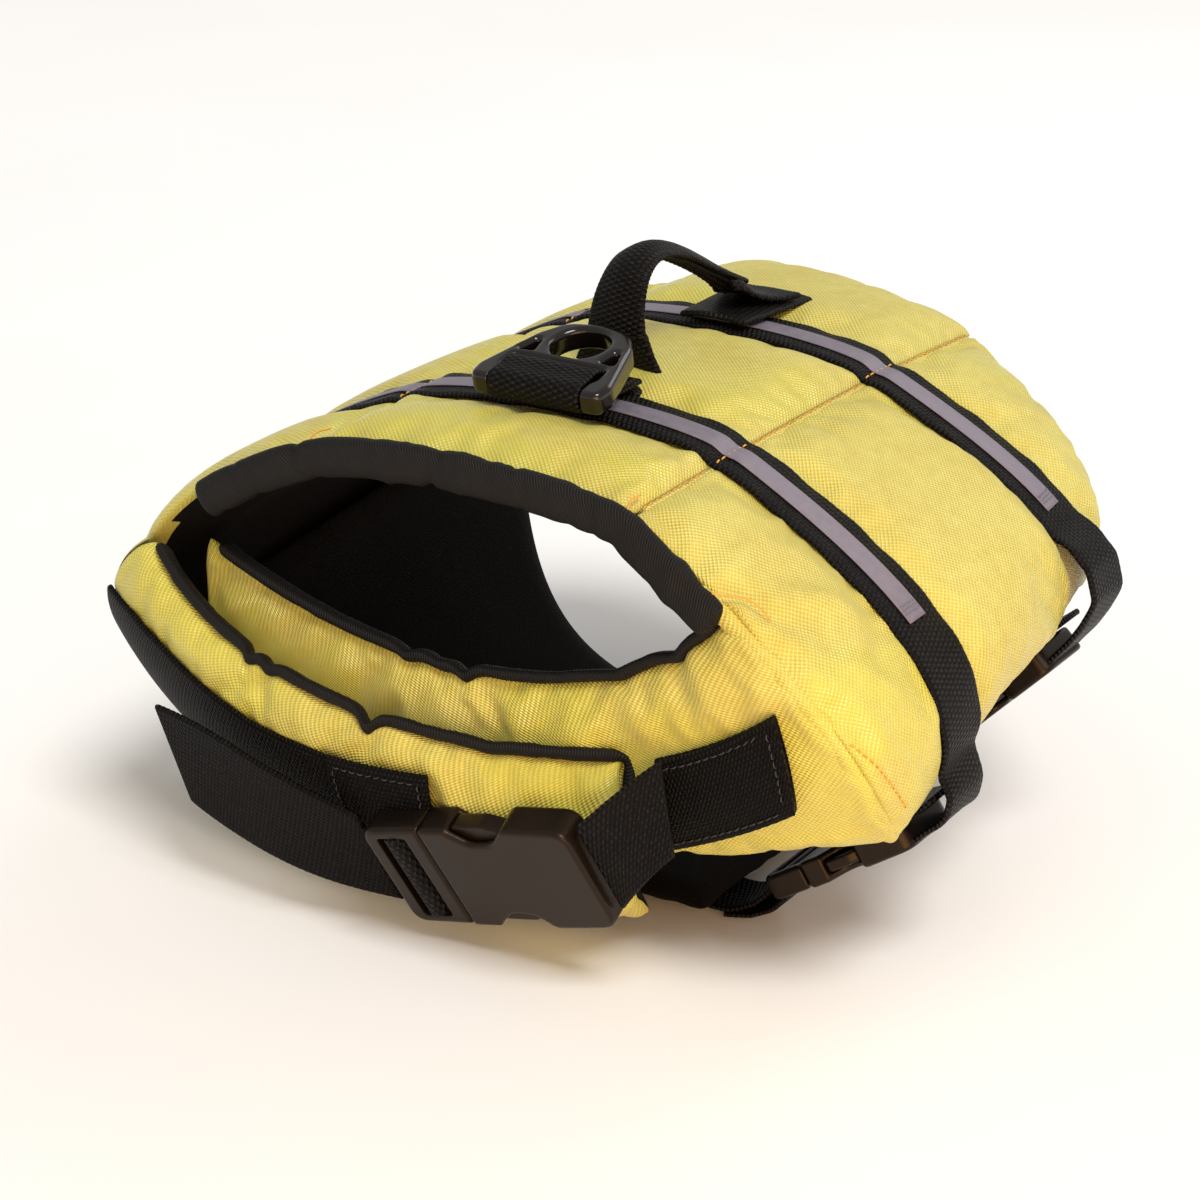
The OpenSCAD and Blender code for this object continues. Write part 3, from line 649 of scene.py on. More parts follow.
def ribbon(name, grid, thick, material, nodes=(), body=VEST, facing=1, selvedge=0.07):
    """Webbing through a grid of middle points, rows along it and columns across it, in mm."""
    rows, cols = grid.shape[:2]
    n = normals_of(grid) * facing
    across = arc_lengths(grid)[0]
    wobble = selvedge * np.where(np.arange(rows) % 2, 1, -1)[:, None]
    half = thick / 2
    top = [grid[:, i] + n[:, i] * half for i in range(cols)]
    bottom = [grid[:, i] - n[:, i] * half for i in range(cols - 1, -1, -1)]
    turns = [[grid[:, edge] + unit(grid[:, edge] - grid[:, beside]) * (half * math.sin(a) + wobble)
              + n[:, edge] * half * math.cos(a) * sign for a in (0.9, math.pi / 2, math.pi - 0.9)]
             for edge, beside, sign in ((-1, -2, 1), (0, 1, -1))]
    ring = np.stack(top + turns[0] + bottom + turns[1], axis=1)
    width = across[:, -1:]
    u_ring = np.concatenate([across, width + 0.3, width + 0.5, width + 0.3, across[:, ::-1],
                             across[:, :1] - 0.3, across[:, :1] - 0.5, across[:, :1] - 0.3], axis=1)
    v = run_of(grid.mean(axis=1))
    k = ring.shape[1]
    uv = np.stack([u_ring, np.repeat(v[:, None], k, axis=1)], -1) * MM
    obj = new_mesh(name, place(ring.reshape(-1, 3)), tube_faces(rows, k, flip=facing < 0), material, uv.reshape(-1, 2))
    fix_outside(obj)
    return dressed(obj, body, nodes)


def fix_outside(obj):
    """Turns the faces outwards."""
    bm = bmesh.new()
    bm.from_mesh(obj.data)
    bmesh.ops.recalc_face_normals(bm, faces=bm.faces)
    bm.to_mesh(obj.data)
    bm.free()


def roll(name, middles, tall, deep, h, d, material, nodes=(), seed=0, pucker=0.5):
    """A binding: an oval tube with half sizes h along tall and d along deep, gathered along its length."""
    rnd = np.random.default_rng(seed)
    rows = len(middles)
    s = run_of(middles)
    around = 24
    a = np.linspace(0, 2 * math.pi, around, endpoint=False)
    ca, sa = np.cos(a), np.sin(a)
    shape_c = np.sign(ca) * np.abs(ca) ** 0.75
    shape_s = np.sign(sa) * np.abs(sa) ** 0.85
    swell = np.zeros((rows, around))
    for _ in range(int(s[-1] / 3.2)):
        at, turn, size, reach, skew = (rnd.uniform(*limits) for limits in (
            (0, s[-1]), (0, 2 * math.pi), (-1, 0.7), (0.9, 2.6), (-1.2, 1.2)))
        off = s[:, None] - at + skew * np.sin(a - turn)
        swell += size * np.exp(-(off / reach) ** 2) * (0.55 + 0.45 * np.cos(a - turn)) * 0.5
    rings = (middles[:, None] + tall[:, None] * (shape_c * (h + pucker * swell))[..., None]
             + deep[:, None] * (shape_s * (d + pucker * swell))[..., None])
    from_end = np.minimum(s, s[-1] - s)
    closing = np.sqrt(1 - np.clip(1 - from_end / 2.5, 0, 0.98) ** 2)[:, None, None]
    rings = middles[:, None] + (rings - middles[:, None]) * closing
    girth = 2 * math.pi * math.sqrt((h * h + d * d) / 2)
    uv = np.stack([np.repeat((a / (2 * math.pi) * girth)[None], rows, axis=0),
                   np.repeat(s[:, None], around, axis=1) + 0.55 * h * ca[None]], -1) * MM
    obj = new_mesh(name, place(rings.reshape(-1, 3)), tube_faces(rows, around), material, uv.reshape(-1, 2))
    fix_outside(obj)
    return dressed(obj, VEST, nodes)


def stitches(name, line, normal, material, pitch=2.7, share=0.72, r=0.24, sink=0.3, slack=0.12):
    """A row of thread stitches along a line of points in mm, each an arched thread that dives at both ends."""
    line, normal = np.asarray(line, float), np.asarray(normal, float)
    if normal.ndim == 1:
        normal = np.repeat(normal[None], len(line), axis=0)
    s = run_of(line)
    verts, faces = [], []
    sides, steps = 6, 5
    count = max(int(s[-1] / pitch), 1)
    for k in range(count):
        t = (k + (1 - share) / 2 + np.linspace(0, share, steps)) * pitch
        p = np.stack([np.interp(t, s, line[:, c]) for c in range(3)], -1)
        n = unit(np.stack([np.interp(t, s, normal[:, c]) for c in range(3)], -1))
        along = unit(np.gradient(p, axis=0))
        side = unit(np.cross(along, n))
        q = np.linspace(-1, 1, steps)
        p = p + n * ((1 - q ** 2) * (r + sink) - sink)[:, None] + side * (dice.normal(0, slack) * q)[:, None]
        fat = r * (1 - 0.45 * q ** 4)
        start = len(verts)
        for i in range(steps):
            for j in range(sides):
                b = 2 * math.pi * j / sides
                verts.append(p[i] + fat[i] * (side[i] * math.cos(b) + n[i] * math.sin(b)))
        faces += tube_faces(steps, sides, start)
    return dressed(new_mesh(name, place(verts), faces, material), VEST)


def thread(name, points, r, material):
    """A loose thread through points in mm."""
    pts = relax(spread(np.asarray(points, float)[:, None], 26), 6)[:, 0]
    along = unit(np.gradient(pts, axis=0))
    side = unit(np.cross(along, np.array([0.31, 0.2, 0.93])))
    up = np.cross(side, along)
    rings = [pts[:, None] + r * (side[:, None] * math.cos(b) + up[:, None] * math.sin(b)) for b in
             np.linspace(0, 2 * math.pi, 6, endpoint=False)]
    rings = np.concatenate(rings, axis=1)
    return dressed(new_mesh(name, place(rings.reshape(-1, 3)), tube_faces(len(pts), 6), material), VEST)


def thread_paint(name, roughness, dark, light):
    g = Graph(name, Roughness=roughness)
    return g.finish(g.blend(g.noise(1500), rgb(*dark), rgb(*light)))


orange_thread = thread_paint("orange_thread", 0.6, (0.62, 0.25, 0.02), (0.85, 0.45, 0.06))
black_thread = thread_paint("black_thread", 0.55, (0.008, 0.007, 0.007), (0.03, 0.028, 0.028))
tack_thread = thread_paint("tack_thread", 0.6, (0.10, 0.10, 0.13), (0.22, 0.22, 0.27))
tape_g = Graph("reflective_tape", Roughness=0.42, Specular_IOR_Level=0.5, Metallic=0.15)
tape_u, tape_v = tape_g.uv()
tape_lift = tape_g.math("MULTIPLY", tape_g.wave(tape_u, 0.5), tape_g.wave(tape_v, 0.5))
tape_cloud = tape_g.noise(420, 3.0)
reflective = tape_g.finish(tape_g.blend(tape_cloud, rgb(0.135, 0.115, 0.150), rgb(0.235, 0.205, 0.250)),
                           tape_g.ramp(tape_cloud, 0.3, 0.7, 0.34, 0.5), tape_lift, 0.02)


def cross_at(net, v, y):
    """u where the net's line v crosses the plane y, by halving; v and y are arrays."""
    lo, hi = np.zeros_like(v), np.ones_like(v)
    rising = on_net(net, hi, v)[..., 1] > on_net(net, lo, v)[..., 1]
    for _ in range(24):
        mid = (lo + hi) / 2
        below = (on_net(net, mid, v)[..., 1] < y) == rising
        lo, hi = np.where(below, mid, lo), np.where(below, hi, mid)
    return (lo + hi) / 2


def strap_line(ys, left_v, right_v, out):
    """Rows over the body from the left flank to the right one, at each y of ys, out mm off the cloth."""
    left, over, right = (np.repeat(line[:, None], len(ys), axis=1) for line in (
        np.linspace(left_v, 0.02, 34), np.linspace(0.985, 0.015, 44), np.linspace(0.02, right_v, 34)))
    return np.concatenate([on_cloth(left_net, cross_at(left_net, left, ys), left, -out),
                           on_cloth(back_net, over, cross_at(turned_net(back_net), over, ys), out),
                           on_cloth(right_net, cross_at(right_net, right, ys), right, out)])


def free_rows(points, ys):
    return np.array([[(x, y, z) for y in ys] for x, z in points])


def near_seam(rows):
    """1 at the long seams, falling to 0 a few mm away."""
    return np.exp(-((np.abs(rows[..., 0:1]) - SEAM_X) / 2.4) ** 2) * (rows[..., 2:3] > 105)


WEB = 1.5              # how thick the webbing is
TAPE = 0.32
SEAM_SINK = 0.9        # how far straps sink where they cross a long seam
STRAP_RUN, ROW_STEP = 330, 1.05
for name, y0, ends, free in (
        ("front", FRONT_Y, (0.97, 0.93), [(108.9, 47.5), (107.6, 42.4), (103.6, 38.4), (100.4, 34.6), (97.4, 32.8),
                                         (95.2, 33.6), (93.6, 36.4), (95.6, 39.4), (100.5, 42.5), (103.5, 45.5)]),
        ("rear", REAR_Y, (0.97, 0.62), [(103.4, 83.6), (107.6, 79.4), (109.8, 71.5), (107.2, 64), (102.2, 57.4),
                                        (98.4, 52.4), (95.6, 50.6), (93.2, 51.6), (92.2, 54.6), (95, 58), (99, 61.5)])):
    ys = y0 + np.linspace(-BODY_WEB / 2, BODY_WEB / 2, 9)
    rows = np.concatenate([strap_line(ys, *ends, WEB / 2), free_rows(free, ys)])
    rows = relax(spread(rows, int(STRAP_RUN / ROW_STEP)), 2)
    up = normals_of(rows)
    facing = 1 if up[len(up) // 3, 4] @ np.array([-0.5, 0, 0.7]) > 0 else -1
    rows = rows - up * facing * near_seam(rows) * SEAM_SINK
    # the edges ripple where the strap is sewn down
    s = np.arange(len(rows))[:, None] * ROW_STEP
    ripple = (np.sin(s / 3.1 + y0) * 0.20 + np.sin(s / 1.7 + 2) * 0.10) * np.abs(np.linspace(-1, 1, 9)) ** 3
    rows = rows + up * facing * ripple[..., None]
    ribbon(f"{name}_body_webbing", rows, WEB, webbing, [f"{name}_body_strap"], facing=facing)
    tape_ys = y0 + np.linspace(-3.3, 3.3, 5)
    tape_rows = relax(spread(strap_line(tape_ys, 0.56, 0.56, WEB + 0.22), 200), 2)
    tape_up = normals_of(tape_rows)
    tape_rows = tape_rows - tape_up * facing * near_seam(tape_rows) * SEAM_SINK
    ribbon(f"{name}_tape_band", tape_rows, TAPE, reflective, [f"{name}_tape"], facing=facing,
           selvedge=0)
    for side, row in (("left", 3), ("right", -4)):
        for k in range(3):
            line = tape_rows[row + (k - 1)] + tape_up[row] * facing * 0.2
            stitches(f"{name}_tape_tack_{side}_{k}", line, tape_up[row] * facing, tack_thread, pitch=1.1, share=0.95,
                     r=0.2)
    # the seam thread crosses the strap
    for side in (-1, 1):
        at = int(np.argmin(np.abs(rows[:, 4, 0] - side * SEAM_X) + (rows[:, 4, 2] < 100) * 99))
        n = up[at] * facing
        stitches(f"{name}_strap_seam_{'right' if side > 0 else 'left'}", rows[at] + n * (WEB / 2 + 0.1), n,
                 orange_thread, pitch=2.4)

# long seams: a strip of turned-in cloth fills the groove, with orange thread along it
for side, net in (("right", right_net), ("left", left_faced)):
    back_v = np.linspace(0.03, 0.985, 160)
    u = back_v if side == "right" else 1 - back_v
    at = on_net(net, u, np.zeros_like(u))
    n = -unit(inward(back_net, np.full_like(u, 0.03 if side == "right" else 0.97), back_v)
              + inward(net, u, np.full_like(u, 0.03)))
    frames = spread(np.stack([at, at + n * 10], axis=1), 260)
    n_roll = unit(frames[:, 1] - frames[:, 0])
    along = unit(np.gradient(frames[:, 0], axis=0))
    roll(f"{side}_seam_fold", frames[:, 0] - n_roll * 3.1, n_roll, unit(np.cross(along, n_roll)), 2.2, 2.6,
         yellow_cloth, seed=21 + len(side), pucker=0.25)
    keep = np.min([np.abs(at[:, 1] - y) for y in (FRONT_Y, REAR_Y)], axis=0) > BODY_WEB / 2 + 0.6
    for k, part in enumerate(np.split(np.arange(len(at)), np.where(np.diff(keep.astype(int)) != 0)[0] + 1)):
        if keep[part[0]] and len(part) > 3:
            stitches(f"{side}_seam_thread_{k}", at[part] - n[part] * 0.75, n[part], orange_thread, pitch=2.5, share=0.8,
                     r=0.2)

# belly straps
LOWEST = 0.35          # mm off the ground
for name, y0, free in (
        ("front", FRONT_Y, [(53, 3.4), (58.5, 6.6), (62.2, 10.6), (64.6, 14.6), (66.9, 17.6), (69.2, 17.8),
                            (69.6, 15.4), (67.4, 11.4), (63.4, 6.4), (57, 2.8), (50, 1.2)]),
        ("rear", REAR_Y, [(53, 3.6), (60.4, 9.6), (65.6, 17.6), (68, 23.6), (69.6, 28.4), (71.8, 30.4),
                          (73.8, 28.6), (72.6, 24.4), (68.6, 15.4), (62.4, 7), (56, 2.6)])):
    ys = y0 + np.linspace(-BODY_WEB / 2, BODY_WEB / 2, 7)
    u = np.repeat(np.linspace(0.03, 1.0, 50)[:, None], len(ys), axis=1)
    rows = on_cloth(belly_net, u, cross_at(turned_net(belly_net), u, ys), 1.45)
    rows[..., 2] = np.maximum(rows[..., 2], LOWEST)
    rows = relax(spread(np.concatenate([rows, free_rows(free, ys)]), 230), 2)
    rows[..., 2] = np.maximum(rows[..., 2], LOWEST)
    ribbon(f"{name}_belly_webbing", rows, 1.35, webbing, [f"{name}_belly_strap"])


# chest webbing
t, q = grid_uv(128, 15)
u = 0.005 + 0.70 * t
band_rows = on_cloth(outer_net, u, band_top(u) + np.interp(u, [0, 0.22], [0.30, 0.41]) * q, 1.2)
ribbon("chest_webbing", band_rows, WEB, fine_webbing, ["chest_strap"], facing=-1)
t, q = grid_uv(28, 15)
u = 0.59 + 0.175 * t
patch_rows = on_cloth(outer_net, u, band_top(u) - 0.022 + 0.42 * q, 2.6)
ribbon("chest_end_patch", patch_rows, 1.3, fine_webbing, facing=-1)
tail_rows = on_net(strip_net([[-80, -77, 46], [-60, -82, 46.5], [-38, -83, 41], [-17.5, -78.5, 33]],
                             [[-70, -77, 23.5], [-55, -80, 18], [-35, -76, 12], [-12.5, -68.5, 9]]),
                   *grid_uv(72, 13))
tail_rows = tail_rows + normals_of(tail_rows) * (np.sin(np.linspace(0, 7, 72)) * 0.5)[:, None, None]
ribbon("chest_tail", tail_rows, WEB, fine_webbing, ["chest_strap_tail"])
t, q = grid_uv(30, 15)
corners = np.array([[(0.262, 0.590), (0.343, 0.150)], [(0.050, 0.649), (0.114, 0.300)]])
t, q = t[..., None], q[..., None]
uv = ((1 - t) * (1 - q) * corners[0, 0] + (1 - t) * q * corners[0, 1]
      + t * (1 - q) * corners[1, 0] + t * q * corners[1, 1])
anchor_rows = on_cloth(inner_net, uv[..., 0], uv[..., 1], 1.25)
ribbon("chest_anchor_patch", anchor_rows[:, ::-1], 1.4, fine_webbing, ["chest_anchor_strap"], facing=-1)
anchor_top = anchor_rows[2:] - inward(inner_net, uv[2:, :, 0], uv[2:, :, 1]) * 1.3
ribbon("chest_anchor_fold", anchor_top[:, ::-1], 1.2, fine_webbing, facing=-1)
anchor_rows = anchor_rows - inward(inner_net, uv[..., 0], uv[..., 1]) * 1.3
link_rows = on_net(strip_net([[44.5, -78, 46.5], [50, -77, 52], [54, -71.5, 57.5], [60, -67.5, 62.5]],
                             [[50.5, -68, 24.5], [54, -70.5, 29], [58, -69, 35.5], [63, -66.5, 40.5]]),
                   *grid_uv(34, 13))
ribbon("chest_link", link_rows, WEB, webbing, ["chest_anchor_link"])
for name, net, grid in (("end_patch", outer_net, patch_rows), ("anchor_patch", inner_net, anchor_rows)):
    n = -inward(net, grid[..., 0] * 0 + 0.5, grid[..., 0] * 0 + 0.45)
    top = grid + n * 0.78
    for k, line in enumerate((top[2:-3, 1], top[-3, 1:-2], top[2:-3, -2][::-1], top[2, 1:-2][::-1])):
        stitches(f"chest_{name}_thread_{k}", line, n[len(n) // 2, 6], black_thread, pitch=2.3, share=0.8, r=0.2)

# bindings
def edge_frames(net, u, v, off, inwards_sign=1):
    e = 0.01
    at = on_net(net, u, v)
    n = inward(net, u, v) * inwards_sign
    if off in ("u0", "u1"):
        out = unit(on_net(net, u - e, v) - on_net(net, u + e, v)) * (1 if off == "u0" else -1)
    else:
        out = unit(on_net(net, u, v - e) - on_net(net, u, v + e)) * (1 if off == "v0" else -1)
    return at, n, out


def join_frames(parts, count):
    at, n, out = (np.concatenate(c) for c in zip(*parts))
    rows = relax(spread(np.stack([at, n * 10 + at, out * 10 + at], axis=1), count), 5)
    return rows[:, 0], unit(rows[:, 1] - rows[:, 0]), unit(rows[:, 2] - rows[:, 0])


right_v = np.linspace(NECK_END, 0.03, 24)
back_u = np.linspace(0.02, 0.985, 40)
left_v = np.linspace(0.03, NECK_END + 0.02, 24)
at, n, out = join_frames([edge_frames(right_net, right_v * 0, right_v, "u0"),
                          edge_frames(back_net, back_u, back_u * 0, "v0"),
                          edge_frames(left_net, left_v * 0, left_v, "u0", -1)], 320)
roll("neck_binding_roll", at + n * 3.6 + out * 1.1, n, out, 4.9, 2.9, grosgrain, ["neck_binding"], seed=3,
     pucker=1.5)
u = np.linspace(0.97, 0.03, 180)
at, n, out = edge_frames(inner_net, u, u * 0 + 1, "v1")
at, n, out = join_frames([(at + notch_shift(inner_net, u, u * 0 + 1, INNER_NOTCHES), n, out)], 190)
roll("inner_flap_binding_roll", at + n * 1.7 + out * 0.25, n, out, 2.6, 1.6, grosgrain,
     ["inner_flap_binding"], seed=5)
u = np.linspace(0.02, 1.02, 180)
at, n, out = edge_frames(outer_net, u, u * 0, "v0")
v = np.linspace(0.03, 0.34, 12)
end_at, end_n, end_out = edge_frames(outer_net, v * 0 + 1.035, v, "u1")
at, n, out = join_frames([(at + notch_shift(outer_net, u, u * 0, OUTER_NOTCHES), n, out),
                          (end_at + end_n * 4.2 + end_out * 0.6, end_n, end_out)], 230)
roll("outer_flap_binding_roll", at + n * 1.7 + out * 0.25, n, out, 2.6, 1.6, grosgrain,
     ["outer_flap_binding"], seed=6)


# the cloth folds round the front edge of the right flank into the inner flap
v = np.linspace(0.25, 0.995, 54)
edge = on_net(right_net, v * 0, v)
flap_v = np.clip(1 - (v - NECK_END) / (1 - NECK_END), 0, 1)
n_flank, n_flap = inward(right_net, v * 0 + 0.01, v), inward(inner_net, flap_v * 0 + 0.01, flap_v)
rows = relax(spread(np.stack([edge, edge + n_flank * 10, edge + n_flap * 10], axis=1), 150), 4)
n_flank, n_flap = unit(rows[:, 1] - rows[:, 0]), unit(rows[:, 2] - rows[:, 0])
roll("front_fold", rows[:, 0] + (n_flank + n_flap) * 1.75, n_flank,
     unit(n_flap - n_flank * (n_flap * n_flank).sum(1)[:, None]), 2.5, 2.5, yellow_cloth, seed=11)


def laid_on(name, points, normals, lift):
    """The points moved along their normals on to a finished panel's swollen cloth."""
    above = 9
    mesh = bpy.data.objects[name].data
    tree = BVHTree.FromPolygons([v.co for v in mesh.vertices], [p.vertices for p in mesh.polygons])
    laid = []
    for p, n in zip(points, normals):
        hit = tree.ray_cast(Vector(place(p + n * above)), Vector(-n), 2 * above * MM)
        laid.append(p + n * (above - hit[3] / MM + lift) if hit[0] else p + n * lift)
    return np.array(laid)


# a dart in the flank's front edge, and loose threads
dart_v = np.linspace(0.69, 0.90, 60)
dart_u = 0.008 + (dart_v - 0.69) / 0.19 * 0.034
dart_n = -inward(right_net, dart_u, dart_v)
dart_line = laid_on("right_flank_panel", on_net(right_net, dart_u, dart_v), dart_n, 0.12)
stitches("dart_thread", dart_line, dart_n, orange_thread, pitch=2.0, share=0.8)
for name, u0, twist in (("left", 0.97, -1), ("right", 0.03, 1)):
    p = on_cloth(back_net, np.array(u0), np.array(0.02), 0.8)
    thread(f"neck_thread_{name}", [p + (x * twist, y, z) for x, y, z in (
        (0, 3, 0.8), (0.5, -2, 1.2), (1.2, -4.6, -1), (2, -5.4, -4), (1.2, -5.8, -6.2))], 0.24, orange_thread)
p = on_cloth(right_net, np.array(0.0), np.array(0.31), 0.8)
thread("flank_thread", [p + step for step in (
    (-1, -1.2, 2), (1.5, 0, 1.6), (5, 3, 1), (8, 5, -1.6), (10, 5.4, -4.2))], 0.22, orange_thread)


# ---------------------------------------------------------------- handle, tabs and leash loop

def bezier_line(p, count):
    t = np.linspace(0, 1, count)[:, None]
    p = [np.array(q, float)[None] for q in p]
    while len(p) > 1:
        p = [a * (1 - t) + b * t for a, b in zip(p, p[1:])]
    return p[0]


ACROSS = np.linspace(-1, 1, 11)
arc = bezier_line([(7.5, 133), (6, 143), (14, 160), (24, 155), (46, 142), (64, 133)], 90)
run = np.linspace(0, 1, len(arc))
half_w = np.interp(run, [0, 0.25, 0.42, 0.6, 0.85, 1], [7.6, 5.8, 5.0, 4.0, 3.2, 4.2])
slope = unit(np.gradient(arc, axis=0))
grip = []
for k in range(len(arc)):
    ny, nz = slope[k][1], -slope[k][0]          # off the band, upwards and forwards
    cup = np.interp(run[k], [0, 0.3, 0.5, 1], [0.3, 1.4, 2.2, 1.6])
    twist = np.interp(run[k], [0, 0.55, 0.85, 1], [0, 0, 0.5, 0.9])
    row = []
    for q in ACROSS:
        x, h = q * half_w[k], cup * (1 - q * q) - cup * 0.4
        x, h = x * math.cos(twist) - h * math.sin(twist), x * math.sin(twist) * 0.5 + h * math.cos(twist)
        row.append((x, arc[k][0] - ny * h, arc[k][1] - nz * h))
    grip.append(row)
grip = np.array(grip)
ribbon("handle_grip", grip, 1.7, webbing, ["handle"], body="handle")
fold = grip + normals_of(grip) * 1.5
fold[..., 0] *= 0.86
ribbon("handle_fold", fold[3:-3], 1.2, webbing, body="handle")
root_t = np.linspace(0, 1, 16)
root_rows = np.array([[(q * np.interp(t, [0, 0.5, 1], [7.9, 9.6, 12.0]), np.interp(t, [0, 1], [7.9, 9.0])
                        + 0.6 * math.cos(3 * q), 134.2 - 10.2 * t) for q in ACROSS] for t in root_t])
handle_root = ribbon("handle_root", root_rows, 1.8, webbing, body=None)
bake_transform(handle_root)


def tab_rows(y0, y1, z, half_a, half_b, drop=0.0, count=24):
    """A flat tab from y0 to y1, half_a wide to each side at its start and half_b at its end."""
    return np.array([[(q * (half_a + (half_b - half_a) * t), y, z - 0.9 * q * q + drop * t)
                      for q in ACROSS]
                     for y, t in zip(np.linspace(y0, y1, count), np.linspace(0, 1, count))])


ribbon("handle_front_patch", tab_rows(-3.5, 14, 123.3, 12.5, 12.5), 1.5, webbing, ["handle_front_tab"],
       facing=-1)
ribbon("handle_rear_patch", tab_rows(53, 84, 127.2, 9.0, 11.5, -0.4, 34), 1.5, webbing,
       ["handle_rear_tab"], facing=-1)
knot_rows = np.array([[(q * w + sx, y, z + h * (1 - q * q)) for q in ACROSS] for y, z, w, h, sx in (
    (57, 134.2, 3.6, 2.4, 0.6), (60, 133.2, 4.8, 3.4, 0.9), (63, 131.4, 5.8, 2.4, 0.5), (66, 130, 6.8, 1.4, 0),
    (70, 128.8, 8.2, 0.6, 0), (74, 128.3, 9.6, 0.2, 0), (79, 128.2, 10.8, 0, 0))])
ribbon("handle_rear_fold", relax(spread(knot_rows, 30), 2), 1.5, webbing, facing=-1)

loop = [(25, -2.5), (12, -3.1), (3, -3.3)]
loop += [(3.35 * math.sin(-b), -3.35 * math.cos(b)) for b in np.linspace(0.15, 2.9, 16)]
loop += [(1.6, 3.6), (5, 4.9), (8.2, 4.4), (9.6, 1.2), (9.9, -1.6), (13, -2.0), (22, -1.4)]
cols = np.linspace(-12.2, 12.2, 13)
loop_rows = np.array([[(x, -26 + dy, 128 + dz) for x in cols] for dy, dz in loop])
ribbon("leash_webbing", relax(spread(loop_rows, 84), 2), 1.25, webbing, ["leash_loop"], facing=-1)


# ---------------------------------------------------------------- moulded pieces

def flat_solid(name, outlines, z0, z1, bevel=0.6):
    """A plate from closed outlines (the first one outside, the others holes) with rounded edges, in mm."""
    curve = bpy.data.curves.new(name, "CURVE")
    curve.dimensions = "2D"
    curve.fill_mode = "BOTH"
    for outline in outlines:
        spline = curve.splines.new("POLY")
        spline.points.add(len(outline) - 1)
        spline.points.foreach_set("co", np.array([(x, y, 0, 1) for x, y in outline], np.float32).ravel())
        spline.use_cyclic_u = True
    curve.extrude = (z1 - z0) / 2 - bevel
    curve.bevel_depth = bevel
    curve.bevel_resolution = 4
    curve.offset = -bevel
    obj = added(name, curve)
    bpy.context.view_layer.update()
    mesh = bpy.data.meshes.new_from_object(obj.evaluated_get(bpy.context.evaluated_depsgraph_get()))
    bpy.data.objects.remove(obj)
    bpy.data.curves.remove(curve)
    bm = bmesh.new()
    bm.from_mesh(mesh)
    bmesh.ops.translate(bm, verts=bm.verts, vec=(0, 0, (z0 + z1) / 2))
    bmesh.ops.remove_doubles(bm, verts=bm.verts, dist=0.0005)
    bmesh.ops.recalc_face_normals(bm, faces=bm.faces)
    bm.to_mesh(mesh)
    bm.free()
    return added(name, mesh)


def prism(outline, z0, z1):
    """A plain prism to cut with, in mm."""
    n = len(outline)
    area = sum(a[0] * b[1] - b[0] * a[1] for a, b in zip(outline, outline[1:] + outline[:1]))
    ring = outline if area > 0 else outline[::-1]
    faces = [tuple(range(n))[::-1], tuple(range(n, 2 * n))]
    faces += [(k, (k + 1) % n, (k + 1) % n + n, k + n) for k in range(n)]
    return new_mesh("prism", [(x, y, z) for z in (z0, z1) for x, y in ring], faces)


def rounded(points, r, steps=8):
    """Rounds the corners of a polygon. r is one radius or one for each corner."""
    pts = [np.array(p, float) for p in points]
    out = []
    for k, p in enumerate(pts):
        to_a, to_b = pts[k - 1] - p, pts[(k + 1) % len(pts)] - p
        a, b = unit(to_a), unit(to_b)
        rk = r[k] if isinstance(r, (list, tuple)) else r
        if rk <= 0:
            out.append(tuple(p))
            continue
        half = math.acos(np.clip(a @ b, -1, 1)) / 2
        reach = min(rk / math.tan(half), 0.48 * np.linalg.norm(to_a), 0.48 * np.linalg.norm(to_b))
        for t in np.linspace(0, 1, steps):
            q = (1 - t) ** 2 * (p + a * reach) + 2 * t * (1 - t) * p + t * t * (p + b * reach)
            out.append(tuple(q))
    return out


def rect(x0, x1, y0, y1):
    return [(x0, y0), (x1, y0), (x1, y1), (x0, y1)]


def disc(x, y, r, steps=48):
    return [(x + r * math.cos(a), y + r * math.sin(a)) for a in np.linspace(0, 2 * math.pi, steps, endpoint=False)]


def cut(obj, *tools, operation="DIFFERENCE"):
    for tool in tools:
        settle(obj, ("BOOLEAN", {"object": tool, "operation": operation, "solver": "EXACT"}))
        bpy.data.objects.remove(tool)
    return obj


def finish_moulding(obj, matrix, material, body, node, voxel=0.32, smooth=3):
    """Melts the pieces of a moulding together, softens its edges and places it."""
    settle(obj, ("REMESH", {"mode": "VOXEL", "voxel_size": voxel}),
           ("SMOOTH", {"factor": 0.5, "iterations": smooth}))
    mesh = obj.data
    co = moved_by(matrix, coordinates(mesh))
    mesh.vertices.foreach_set("co", place(co).astype(np.float32).ravel())
    mesh.polygons.foreach_set("use_smooth", np.ones(len(mesh.polygons), bool))
    mesh.materials.clear()
    mesh.materials.append(material)
    mesh.update()
    return dressed(obj, body, [node])


def moved_by(matrix, points):
    return points @ np.array(matrix)[:3, :3].T + np.array(matrix)[:3, 3]


def turned(place_at, *turns):
    m = Matrix.Translation(place_at)
    for angle, axis in turns:
        m = m @ Matrix.Rotation(math.radians(angle), 4, axis)
    return m


